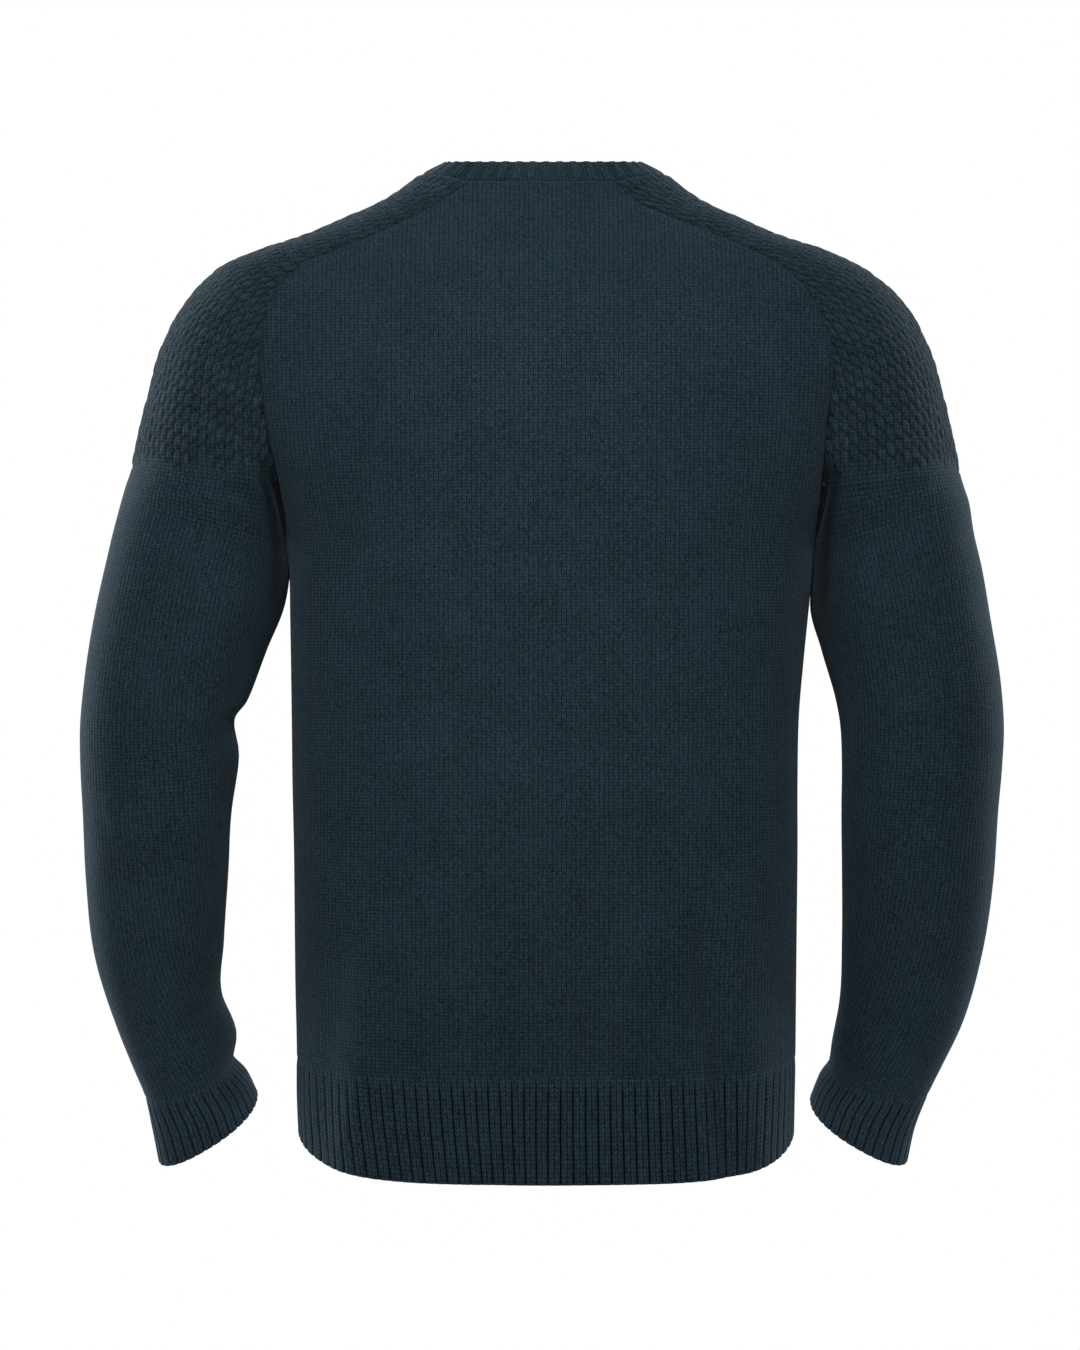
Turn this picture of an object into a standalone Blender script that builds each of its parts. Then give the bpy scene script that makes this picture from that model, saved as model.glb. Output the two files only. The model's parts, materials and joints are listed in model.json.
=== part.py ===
"""A fine knitted v-neck jumper, hollow and filled out as if worn, with nobody in it.

Every piece that a knitter would make is its own closed wall: front and back panels with
their ribbed hems, two saddle shoulders that run over the top of the arm, two sleeves with
ribbed cuffs, and the ribbed neckband with its mitre at the point of the V.

The garment faces -Y and stands up along +Z. The origin is the middle of the neck, level
with the shoulder line, where a wearer holds the garment up. Tables are in millimetres.
"""

import math

import bpy
import numpy as np

MM = 0.001
COLLECTION = "v_neck_jumper"

# Cloth
JERSEY_WALL = 2.0
RIB_WALL = 2.2  # from the rib's mean surface to its plain inside
RIB_HEIGHT = 1.2  # groove to crest
GROOVE_SHARE = 0.17  # of a rib's pitch, from the groove's middle to the crest's edge
SEAM_GAP = 0.3

# Rib counts
HEM_RIBS = 56  # on the front, and on the back
CUFF_RIBS = 34
NECKBAND_RIBS = 91

# Neckline
V_DEPTH_ROW = 9  # the torso row where the V's seam comes to its point
NECK_FRONT_X = 70.0  # half width of the V at the saddle seams
FRONT_SEAM_ROWS = 3  # rows in which the front saddle seam runs outside the back one
FRONT_SEAM_SLOPE = 0.9  # how fast it moves out there as it drops
BAND_WIDTH = 20.0
BAND_BULGE = 0.8
MITRE_PART = 0.05  # each end of the band from the middle line, before the seam's own gap
# Which way the neckband stands from its seam, on the wearer's left side
BAND_ON_V = (-0.92, 0.0, 0.39)
BAND_ON_RIDGE = (-0.91, 0.0, 0.41)
BAND_ON_BACK_CORNER = (-0.36, -0.50, 0.79)
BAND_ON_BACK = (0.0, -0.69, 0.72)

# Mesh
PANEL_COLUMNS = 16
SLEEVE_COLUMNS = 16  # round the sleeve, half of them behind the arm
SAMPLES = 120  # fine points along a section before it is divided evenly
ROUND_SECTION = 2.3  # exponent of a sleeve's rounded section, 2 is an ellipse
WELD = 1e-4  # millimetres
SHARP_CORNER = 0.15  # keeps the corner of a rim from being drawn in too far
RIM_ORDER = (1.0, 5.0, 25.0)  # a direction that tells the two ends of a rim's edge apart

# Colours, sRGB
JERSEY_COLOUR = "#1F2D36"
TEXTURE_COLOUR = "#202F38"
RIB_COLOUR = "#1B2830"


def table(columns, rows):
    """A table as one array for each named column."""
    values = np.array(rows, float)
    return dict(zip(columns.split(), values.T))


# The seam that joins the saddle and the sleeve's cap to the body, from the neck down to
# the underarm, where its back and front runs meet. swell is how far the sleeve rounds out
# beyond a straight run from the seam to the sleeve's outer edge. square is how the rows
# turn into the seam: 1 runs flat into it, and 0.4 turns right round, as under the arm.
SEAM = table(
    "z back_y front_y ridge_y swell square",
    (
        (-7, 58, -38, 8, 0, 1.00),
        (-18, 60, -47, 6, 0, 1.00),
        (-33, 66, -56, 4, 0, 1.00),
        (-50, 72, -64, 2, 0, 0.98),
        (-59, 74, -68, 1, 0, 0.96),
        (-72, 76, -72, 0, 0, 0.94),
        (-90, 78, -78, 0, 0, 0.91),
        (-115, 79, -82, 0, 1, 0.87),
        (-140, 77, -80, 0, 2, 0.82),
        (-165, 70, -71, 0, 6, 0.75),
        (-187, 58, -57, 0, 14, 0.68),
        (-203, 43, -43, 0, 25, 0.61),
        (-223, 25, -26, 0, 40, 0.54),
        (-243, 0, 0, 0, 57, 0.45),
    ),
)

# The same rows: where the seam lies, and where the sleeve's outer edge is abreast of it.
LEFT_CAP = table(
    "seam_x edge_x edge_z",
    (
        (48, 82, 5),
        (70, 103, -10),
        (97, 130, -23),
        (136, 168, -38.5),
        (157, 190, -45.5),
        (171, 215, -56.5),
        (180, 236, -77),
        (185, 254, -109),
        (185, 262, -138),
        (182, 268, -160),
        (178, 272, -179),
        (175, 274, -189),
        (171.5, 278, -201),
        (171, 281, -212),
    ),
)
RIGHT_CAP = table(
    "seam_x edge_x edge_z",
    (
        (-45, -80, 5),
        (-61, -100, -10),
        (-95, -126, -23),
        (-135, -163, -38.5),
        (-151, -187, -46),
        (-166, -213, -58.5),
        (-178, -236, -78),
        (-187, -254, -109),
        (-187, -263, -139),
        (-184, -269, -163),
        (-183, -273, -182),
        (-182, -275, -192),
        (-179.5, -278, -202),
        (-178, -281, -212),
    ),
)

# The sleeves below the underarm: the edge beside the body, the outer edge, how far
# forward the arm has bent, and half the sleeve's depth. The last three rows are the cuff.
LEFT_SLEEVE = table(
    "inner_x inner_z outer_x outer_z mid_y half_depth",
    (
        (170, -258, 286, -231, 0, 58),
        (172.6, -276, 290, -248, 0, 58),
        (185, -308, 298, -284, 0, 56),
        (198, -342, 305, -328, 0, 54),
        (207, -357, 308, -360, -1, 52),
        (204, -380, 308, -386, -4, 51),
        (209, -415, 307, -414, -9, 49),
        (212, -456, 306, -459, -20, 46),
        (216, -504, 302, -509, -35, 42),
        (218, -544, 288.5, -558, -49, 37),
        (209, -570, 278, -587, -58, 34),
        (211.5, -586, 271, -605, -64, 32),
        (202, -599, 266, -630, -71.5, 31),
        (196, -613, 262.5, -652, -79.5, 31),
    ),
)
RIGHT_SLEEVE = table(
    "inner_x inner_z outer_x outer_z mid_y half_depth",
    (
        (-177.7, -261, -284, -232, 0, 58),
        (-176.6, -279, -288.5, -251, 0, 58),
        (-184, -308, -295, -288, 0, 56),
        (-194, -343, -302, -332, 0, 54),
        (-197, -362, -304, -360, -1, 52),
        (-198, -386, -303, -386, -4, 51),
        (-198, -415, -301, -414, -9, 49),
        (-199, -456, -299, -459, -20, 46),
        (-200, -502, -293, -509, -35, 42),
        (-199, -548, -280.5, -558, -49, 37),
        (-194.5, -576, -268, -586, -58, 34),
        (-193, -589, -260.5, -602, -63, 32),
        (-186.5, -601, -251, -628, -71.5, 31),
        (-181, -616, -246.5, -652, -79.5, 31),
    ),
)

# The body's middle line, row for row with the seam.
YOKE = table(
    "back_y front_y",
    (
        (61, -58),
        (69, -64),
        (77, -73),
        (85, -82),
        (89, -86),
        (93, -92),
        (99, -100),
        (105, -110),
        (108, -116),
        (109, -120),
        (108, -123),
        (107, -124),
        (105, -124),
        (103, -124),
    ),
)

# The body below the underarm, down to the top of the rib and then the hem. drop is how
# much lower the back's middle hangs than the side seams.
TORSO = table(
    "z left_x right_x back_y front_y drop",
    (
        (-260, 169, -176.5, 101, -124, 0),
        (-285, 168.5, -174, 98, -123, 0),
        (-315, 168, -171, 95, -120, 0),
        (-350, 167.5, -168, 92, -117, 0),
        (-395, 167, -167, 91, -115, 0),
        (-440, 166, -167, 92, -114, 1),
        (-485, 165.5, -166.5, 94, -114, 3),
        (-530, 165, -166, 97, -115, 5),
        (-576, 164, -165.5, 100, -116, 8),
        (-600, 164, -165, 102, -117, 17),
        (-626, 163, -164.5, 102, -117, 27),
    ),
)
TORSO_SIDE = 0.38  # the square of every body row below the underarm
SLEEVE_SIDE = 0.43  # and of every sleeve section
LEFT_BOW = 2.4  # exponents of a body row across its width, larger is squarer
RIGHT_BOW = 2.6
NECK_RISE = 2.5  # the back neck's seam is this much higher in its middle
FRONT_DROP = 0.75  # the front hem hangs less than the back
HEM_ROWS = 3
CUFF_ROWS = 3
CAP_ROWS = 12  # the saddle's knit ends at this row of the seam
FOLD_END = 0.35  # share of a fold's length in which it rises from the cloth
OFF_THE_HEM = -635.0  # a fold whose foot is lower than this runs off the hem

# The largest folds, as soft ridges and troughs. A fold runs from top to foot, each an x
# and z on the piece, with its half width and its height (a trough is negative).
TORSO_FOLDS = table(
    "side top_x top_z foot_x foot_z width height",
    (
        (1, 112, -430, 128, -640, 18, 5),
        (1, 146, -480, 156, -640, 14, -5),
        (1, -92, -440, -116, -640, 19, -5),
        (1, -126, -420, -140, -640, 18, 4),
        (1, 10, -500, 0, -640, 34, 2.5),
        (1, 150, -190, 118, -300, 20, -3),
        (1, -156, -190, -122, -290, 20, -3),
        (-1, 104, -440, 122, -640, 19, 5),
        (-1, 60, -470, 66, -640, 20, -4),
        (-1, -82, -450, -88, -640, 20, -4),
        (-1, -118, -430, -134, -640, 19, 5),
        (-1, 140, -200, 84, -280, 20, -4),
        (-1, -142, -200, -80, -286, 20, -4),
    ),
)


def evenly(points, segments):
    """A run of points divided again into equal lengths."""
    steps = np.linalg.norm(np.diff(points, axis=0), axis=1)
    along = np.concatenate(([0.0], np.cumsum(steps)))
    wanted = np.linspace(0.0, along[-1], segments + 1)
    return np.stack([np.interp(wanted, along, points[:, i]) for i in range(3)], axis=1)


def smoothstep(value):
    value = np.clip(value, 0.0, 1.0)
    return value * value * (3.0 - 2.0 * value)


def between(start, end, share):
    return np.array(start) + (np.array(end) - start) * share


def fold_height(side, points):
    """How far the folds of one side of the body raise each point."""
    height = np.zeros(len(points))
    for i in np.flatnonzero(TORSO_FOLDS["side"] == side):
        fold = {name: values[i] for name, values in TORSO_FOLDS.items()}
        along = (fold["top_z"] - points[:, 2]) / (fold["top_z"] - fold["foot_z"])
        middle = fold["top_x"] + (fold["foot_x"] - fold["top_x"]) * along
        across = np.exp(-(((points[:, 0] - middle) / fold["width"]) ** 2))
        rise = smoothstep(along / FOLD_END)
        if fold["foot_z"] > OFF_THE_HEM:
            rise = rise * smoothstep((1.0 - along) / FOLD_END)
        height += fold["height"] * across * rise
    return height


def body_row(side, left, right, middle_y, square, drop):
    """One row across the body, from the wearer's left to the right."""
    turn = np.linspace(math.pi / 2, -math.pi / 2, SAMPLES + 1)
    across = np.sin(turn)
    bow = (1.0 - np.abs(across) ** np.where(across > 0, LEFT_BOW, RIGHT_BOW)) ** square
    middle_x = (left[0] + right[0]) / 2
    half = (left[0] - right[0]) / 2
    points = np.stack(
        [
            middle_x + half * across,
            left[1] + (middle_y - left[1]) * bow,
            np.full(len(across), left[2]),
        ],
        axis=1,
    )
    points[:, 2] -= drop * smoothstep(bow)
    points[:, 1] += side * fold_height(side, points) * bow
    return points


def front_seam_x(cap, row):
    """The front saddle seam starts wider than the back one, at the V's shoulder."""
    seam_x = cap["seam_x"][row]
    if row >= FRONT_SEAM_ROWS:
        return seam_x
    reach = NECK_FRONT_X + FRONT_SEAM_SLOPE * (SEAM["z"][0] - SEAM["z"][row])
    return math.copysign(max(abs(seam_x), reach), seam_x)


def body_rows(side):
    """All rows of the back (side 1) or the front (side -1), as fine sections."""
    rows = []
    name = "back_y" if side > 0 else "front_y"
    for i, z in enumerate(SEAM["z"]):
        ends = [
            (front_seam_x(cap, i) if side < 0 else cap["seam_x"][i], SEAM[name][i], z)
            for cap in (LEFT_CAP, RIGHT_CAP)
        ]
        drop = -NECK_RISE if side > 0 and i == 0 else 0.0
        rows.append(body_row(side, *ends, YOKE[name][i], SEAM["square"][i], drop))
    drop_share = 1.0 if side > 0 else FRONT_DROP
    for i, z in enumerate(TORSO["z"]):
        ends = [(TORSO[edge][i], 0.0, z) for edge in ("left_x", "right_x")]
        drop = TORSO["drop"][i] * drop_share
        rows.append(body_row(side, *ends, TORSO[name][i], TORSO_SIDE, drop))
    return rows


def cut_at(points, x):
    """The part of a body row from its first point to where it passes x."""
    order = np.argsort(points[:, 0])
    edge = [np.interp(x, points[order, 0], points[order, i]) for i in range(3)]
    sign = np.sign(points[0, 0] - x) or 1.0
    kept = points[(points[:, 0] - x) * sign > WELD]
    return np.vstack([kept, edge])


def back_rows():
    return np.array([evenly(row, PANEL_COLUMNS) for row in body_rows(1)])


def front_rows():
    """The front's rows in two halves, parted at the V and joined below it."""
    halves = []
    tip_z = SEAM["z"][V_DEPTH_ROW]
    for sign in (1, -1):
        rows = []
        for row in body_rows(-1):
            points = row if sign > 0 else row[::-1]
            share = (row[0, 2] - tip_z) / (SEAM["z"][0] - tip_z)
            edge_x = sign * NECK_FRONT_X * max(share, 0.0) if len(rows) < V_DEPTH_ROW else 0.0
            if not rows:
                rows.append(np.repeat(points[:1], PANEL_COLUMNS // 2 + 1, axis=0))
                continue
            rows.append(evenly(cut_at(points, edge_x), PANEL_COLUMNS // 2))
        halves.append(np.array(rows))
    return halves


def half_section(start, ridge, swell, square=SLEEVE_SIDE):
    """Half of a sleeve's section, from the body or the inner edge to the outer edge."""
    share = (1.0 - np.cos(np.linspace(0.0, math.pi, SAMPLES + 1))) / 2
    fall = (1.0 - share**ROUND_SECTION) ** (1.0 / ROUND_SECTION)
    points = start + (ridge - start) * share[:, None]
    round_out = (1.0 - np.abs(2.0 * share - 1.0) ** ROUND_SECTION) ** square
    points[:, 1] = ridge[1] + (start[1] - ridge[1]) * fall + swell * round_out
    return evenly(points, SLEEVE_COLUMNS // 2)


def sleeve_rows(cap, sleeve):
    """Sections from the neck to the cuff's end, each from the back round to the front."""
    rows = []
    for i, z in enumerate(SEAM["z"]):
        ridge = np.array([cap["edge_x"][i], SEAM["ridge_y"][i], cap["edge_z"][i]])
        back = np.array([cap["seam_x"][i], SEAM["back_y"][i], z])
        front = np.array([front_seam_x(cap, i), SEAM["front_y"][i], z])
        swell, square = SEAM["swell"][i], SEAM["square"][i]
        behind = half_section(back, ridge, swell, square)
        rows.append((behind, half_section(front, ridge, -swell, square)))
    lean = np.gradient(sleeve["mid_y"], (sleeve["inner_z"] + sleeve["outer_z"]) / 2)
    for i, mid_y in enumerate(sleeve["mid_y"]):
        inner = np.array([sleeve["inner_x"][i], mid_y, sleeve["inner_z"][i]])
        outer = np.array([sleeve["outer_x"][i], mid_y, sleeve["outer_z"][i]])
        depth = sleeve["half_depth"][i]
        halves = half_section(inner, outer, depth), half_section(inner, outer, -depth)
        for half in halves:
            half[:, 2] -= lean[i] * (half[:, 1] - mid_y)  # square to the arm as it bends
        rows.append(halves)
    whole = np.array([np.vstack([behind, before[-2::-1]]) for behind, before in rows])
    return whole if cap is RIGHT_CAP else whole[:, ::-1]


def neckband_rows(back, front_left, front_right, left, right):
    """The band's free edge, middle and seam, from the V's point up the left side and round."""
    loop = [(point, BAND_ON_V) for point in front_left[V_DEPTH_ROW:0:-1, -1]]
    shares = np.arange(SLEEVE_COLUMNS // 2)[:, None] * 2 / SLEEVE_COLUMNS
    to_ridge = between(BAND_ON_V, BAND_ON_RIDGE, shares)
    to_back = between(BAND_ON_RIDGE, BAND_ON_BACK_CORNER, shares**2)
    stands = np.vstack([to_ridge, to_back])
    loop += list(zip(left[0], stands))
    mirror = np.array([-1.0, 1.0, 1.0])
    for i, point in enumerate(back[0]):
        aside = 1.0 - 2.0 * i / PANEL_COLUMNS
        stand = between(BAND_ON_BACK, BAND_ON_BACK_CORNER, abs(aside))
        loop.append((point, stand if aside > 0 else stand * mirror))
    loop += [(point, stand * mirror) for point, stand in zip(right[0][1:], stands[::-1])]
    loop += [(point, BAND_ON_V * mirror) for point in front_right[1 : V_DEPTH_ROW + 1, -1]]
    seam, middle, free = [], [], []
    for i, (point, stand) in enumerate(loop):
        stand = np.array(stand) / np.linalg.norm(stand)
        width = BAND_WIDTH
        if i < V_DEPTH_ROW or i > len(loop) - 1 - V_DEPTH_ROW:
            # The mitre cuts the band short, and parts its two ends.
            side = 1.0 if i < V_DEPTH_ROW else -1.0
            point = point * (0.0, 1.0, 1.0) + (side * max(abs(point[0]), MITRE_PART), 0.0, 0.0)
            width = min(width, (abs(point[0]) - MITRE_PART) / abs(stand[0]))
        seam.append(point)
        free.append(point + stand * width)
        outward = np.array([point[0], point[1], -point[1] / 3]) / np.linalg.norm(point)
        middle.append(point + stand * width / 2 + outward * BAND_BULGE * width / BAND_WIDTH)
    return np.array([free, middle, seam])


class Cloth:
    """An open surface of quads and triangles, seen from outside with its rows running down."""

    def __init__(self, *grids):
        stacked = np.vstack([grid.reshape(-1, 3) for grid in grids])
        _, first, index = np.unique(
            np.round(stacked / WELD).astype(np.int64), axis=0, return_index=True, return_inverse=True
        )
        self.points = stacked[first]
        self.grids = []
        self.faces = []
        start = 0
        for grid in grids:
            size = grid.shape[0] * grid.shape[1]
            places = index.reshape(-1)[start : start + size].reshape(grid.shape[:2])
            self.grids.append(places)
            self.add_quads(places)
            start += size

    def add_quads(self, places):
        for above, below in zip(places, places[1:]):
            for i in range(len(above) - 1):
                corners = (above[i], below[i], below[i + 1], above[i + 1])
                face = list(dict.fromkeys(int(corner) for corner in corners))
                if len(face) > 2:
                    self.faces.append(face)

    def face_normal(self, face):
        corners = self.points[face]
        total = np.zeros(3)
        for a, b in zip(corners, np.roll(corners, -1, axis=0)):
            total += np.cross(a - corners[0], b - corners[0])
        return total / 2

    def rim(self):
        """The edges that only one face has, in that face's direction."""
        edges = {(a, b) for face in self.faces for a, b in zip(face, face[1:] + face[:1])}
        return [(a, b) for a, b in sorted(edges) if (b, a) not in edges]

    def draw_in(self, distance):
        """Moves the rim in, square to the shared normals, which leaves the gap of a seam."""
        pulls = {}
        for a, b in self.rim():
            pull = np.cross(self.normals[a] + self.normals[b], self.points[b] - self.points[a])
            for place in (a, b):
                pulls.setdefault(place, []).append(pull / np.linalg.norm(pull))
        for place, found in pulls.items():
            total = sum(found)
            reach = max(total @ total, SHARP_CORNER)
            self.points[place] += distance * total * len(found) / reach


def keys_of(points):
    return [tuple(row) for row in np.round(np.array(points) / WELD).astype(np.int64)]


def share_normals(cloths, underarms):
    """Gives each point the whole garment's normal there, so walls meet cleanly at seams."""
    totals = {}
    for cloth in cloths:
        keys = keys_of(cloth.points)
        for face in cloth.faces:
            normal = cloth.face_normal(face)
            for place in face:
                totals[keys[place]] = totals.get(keys[place], np.zeros(3)) + normal
    for key in keys_of(underarms):
        totals[key] = np.array([0.0, 0.0, -1.0])  # body and sleeve part here, and look down
    for cloth in cloths:
        found = np.array([totals[key] for key in keys_of(cloth.points)])
        cloth.normals = found / np.linalg.norm(found, axis=1)[:, None]


def plain_wall(cloth):
    """The wall of a jersey piece: its surface, the same moved in, and the rim between."""
    count = len(cloth.points)
    points = np.vstack([cloth.points, cloth.points - cloth.normals * JERSEY_WALL])
    faces = [list(face) for face in cloth.faces]
    faces += [[place + count for place in reversed(face)] for face in cloth.faces]
    for a, b in cloth.rim():
        # Both sides of a seam split their rims along the same diagonal.
        if (points[a] - points[b]) @ RIM_ORDER > 0:
            faces += [[b, a, a + count], [b, a + count, b + count]]
        else:
            faces += [[b, a, b + count], [a, a + count, b + count]]
    return points, faces


def lace(outer, outer_at, inner, inner_at):
    """Triangles between two runs of places that divide the same edge differently."""
    faces = []
    i = j = 0
    while i < len(outer) - 1 or j < len(inner) - 1:
        if j == len(inner) - 1 or (i < len(outer) - 1 and outer_at[i + 1] <= inner_at[j + 1]):
            faces.append([inner[j], outer[i], outer[i + 1]])
            i += 1
        else:
            faces.append([inner[j], outer[i], inner[j + 1]])
            j += 1
    return faces


def ribbed_wall(cloth, ribs):
    """The wall of a rib: crests and grooves outside, and a plain inside with fewer points."""
    places = cloth.grids[0]
    closed = (places[:, 0] == places[:, -1]).all()
    lengths = np.linalg.norm(np.diff(cloth.points[places[-1]], axis=0), axis=1)
    corners = np.concatenate(([0.0], np.cumsum(lengths)))
    corners *= ribs / corners[-1]  # counted in ribs along the edge
    profile = ((0.0, -0.5), (GROOVE_SHARE, 0.5), (1.0 - GROOVE_SHARE, 0.5))
    cuts = [rib + share for rib in range(ribs) for share, _ in profile] + [ribs]
    heights = [height for _ in range(ribs) for _, height in profile] + [profile[0][1]]
    outer_at = np.unique(np.round(np.concatenate((cuts, corners)), 6))
    inner_at = np.unique(np.round(np.concatenate((np.arange(ribs + 1), corners)), 6))

    def refined(values, wanted):
        column = np.interp(wanted, corners, np.arange(len(corners)))
        low = np.minimum(column.astype(int), len(corners) - 2)
        part = (column - low)[None, :, None]
        return values[:, low] * (1 - part) + values[:, low + 1] * part

    grid, normals = cloth.points[places], cloth.normals[places]
    relief = np.interp(outer_at, cuts, heights) * RIB_HEIGHT
    outside = refined(grid, outer_at) + refined(normals, outer_at) * relief[None, :, None]
    inside = refined(grid, inner_at) - refined(normals, inner_at) * RIB_WALL
    rows, wide, narrow = len(places), len(outer_at), len(inner_at)
    outer = np.arange(rows * wide).reshape(rows, wide)
    inner = rows * wide + np.arange(rows * narrow).reshape(rows, narrow)
    if closed:
        outer[:, -1], inner[:, -1] = outer[:, 0], inner[:, 0]
    faces = lace(outer[0], outer_at, inner[0], inner_at)
    faces += [face[::-1] for face in lace(outer[-1], outer_at, inner[-1], inner_at)]
    for r in range(rows - 1):
        for i in range(wide - 1):
            faces.append([outer[r, i], outer[r + 1, i], outer[r + 1, i + 1], outer[r, i + 1]])
        for i in range(narrow - 1):
            faces.append([inner[r, i + 1], inner[r + 1, i + 1], inner[r + 1, i], inner[r, i]])
        if not closed:
            faces.append([outer[r, 0], inner[r, 0], inner[r + 1, 0], outer[r + 1, 0]])
            faces.append([outer[r + 1, -1], inner[r + 1, -1], inner[r, -1], outer[r, -1]])
    return np.vstack([outside.reshape(-1, 3), inside.reshape(-1, 3)]), faces


def linear(colour):
    """An sRGB hex colour as the linear values that a shader takes."""
    values = [int(colour[i : i + 2], 16) / 255 for i in (1, 3, 5)]
    return [v / 12.92 if v <= 0.04045 else ((v + 0.055) / 1.055) ** 2.4 for v in values]


def knit_material(name, colour):
    material = bpy.data.materials.new(name)
    material.use_nodes = True
    shader = material.node_tree.nodes["Principled BSDF"]
    shader.inputs["Base Color"].default_value = (*linear(colour), 1.0)
    shader.inputs["Roughness"].default_value = 0.9
    shader.inputs["Metallic"].default_value = 0.0
    return material


def add_piece(name, wall, colour, collection):
    """Makes one knitted piece an object, in metres."""
    points, faces = wall
    used, index = np.unique(np.round(points / WELD).astype(np.int64), axis=0, return_inverse=True)
    index = index.reshape(-1)
    merged = [list(dict.fromkeys(int(index[place]) for place in face)) for face in faces]
    mesh = bpy.data.meshes.new(name)
    mesh.from_pydata(
        [tuple(point) for point in used * WELD * MM], [], [face for face in merged if len(face) > 2]
    )
    mesh.validate()
    mesh.materials.append(knit_material(name + "_knit", colour))
    mesh.shade_smooth()
    collection.objects.link(bpy.data.objects.new(name, mesh))


def main():
    for obj in list(bpy.data.objects):
        bpy.data.objects.remove(obj, do_unlink=True)
    collection = bpy.data.collections.new(COLLECTION)
    bpy.context.scene.collection.children.link(collection)

    back = back_rows()
    front_left, front_right = front_rows()
    left = sleeve_rows(LEFT_CAP, LEFT_SLEEVE)
    right = sleeve_rows(RIGHT_CAP, RIGHT_SLEEVE)
    band = neckband_rows(back, front_left, front_right, left, right)
    front = np.concatenate([front_right, front_left[:, -2::-1]], axis=1)

    rib_top = len(back) - HEM_ROWS
    cuff_top = len(left) - CUFF_ROWS
    jersey = {
        "back_panel": Cloth(back[: rib_top + 1]),
        "front_panel": Cloth(
            front_right[: rib_top + 1], front_left[: rib_top + 1, ::-1]
        ),
        "saddle_left": Cloth(left[:CAP_ROWS]),
        "saddle_right": Cloth(right[:CAP_ROWS]),
        "sleeve_left": Cloth(left[CAP_ROWS - 1 : cuff_top + 1]),
        "sleeve_right": Cloth(right[CAP_ROWS - 1 : cuff_top + 1]),
    }
    ribs = {
        "hem_rib_back": (Cloth(back[rib_top:]), HEM_RIBS),
        "hem_rib_front": (Cloth(front[rib_top:]), HEM_RIBS),
        "cuff_left": (Cloth(left[cuff_top:]), CUFF_RIBS),
        "cuff_right": (Cloth(right[cuff_top:]), CUFF_RIBS),
        "neckband": (Cloth(band), NECKBAND_RIBS),
    }
    cloths = list(jersey.values()) + [cloth for cloth, _ in ribs.values()]
    share_normals(cloths, [back[len(SEAM["z"]) - 1, end] for end in (0, -1)])
    for cloth in cloths:
        cloth.draw_in(SEAM_GAP / 2)
    for name, cloth in jersey.items():
        colour = TEXTURE_COLOUR if name.startswith("saddle") else JERSEY_COLOUR
        add_piece(name, plain_wall(cloth), colour, collection)
    for name, (cloth, count) in ribs.items():
        add_piece(name, ribbed_wall(cloth, count), RIB_COLOUR, collection)


main()
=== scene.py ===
"""A fine-knit V-neck jumper with saddle shoulders, hollow and filled out as if worn.

Lengths are in millimetres and become metres when a mesh is made. The jumper faces -Y, its
neck is at the origin and the wearer's left is at +X. The photograph is taken from behind.
"""

import json
import math

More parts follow.
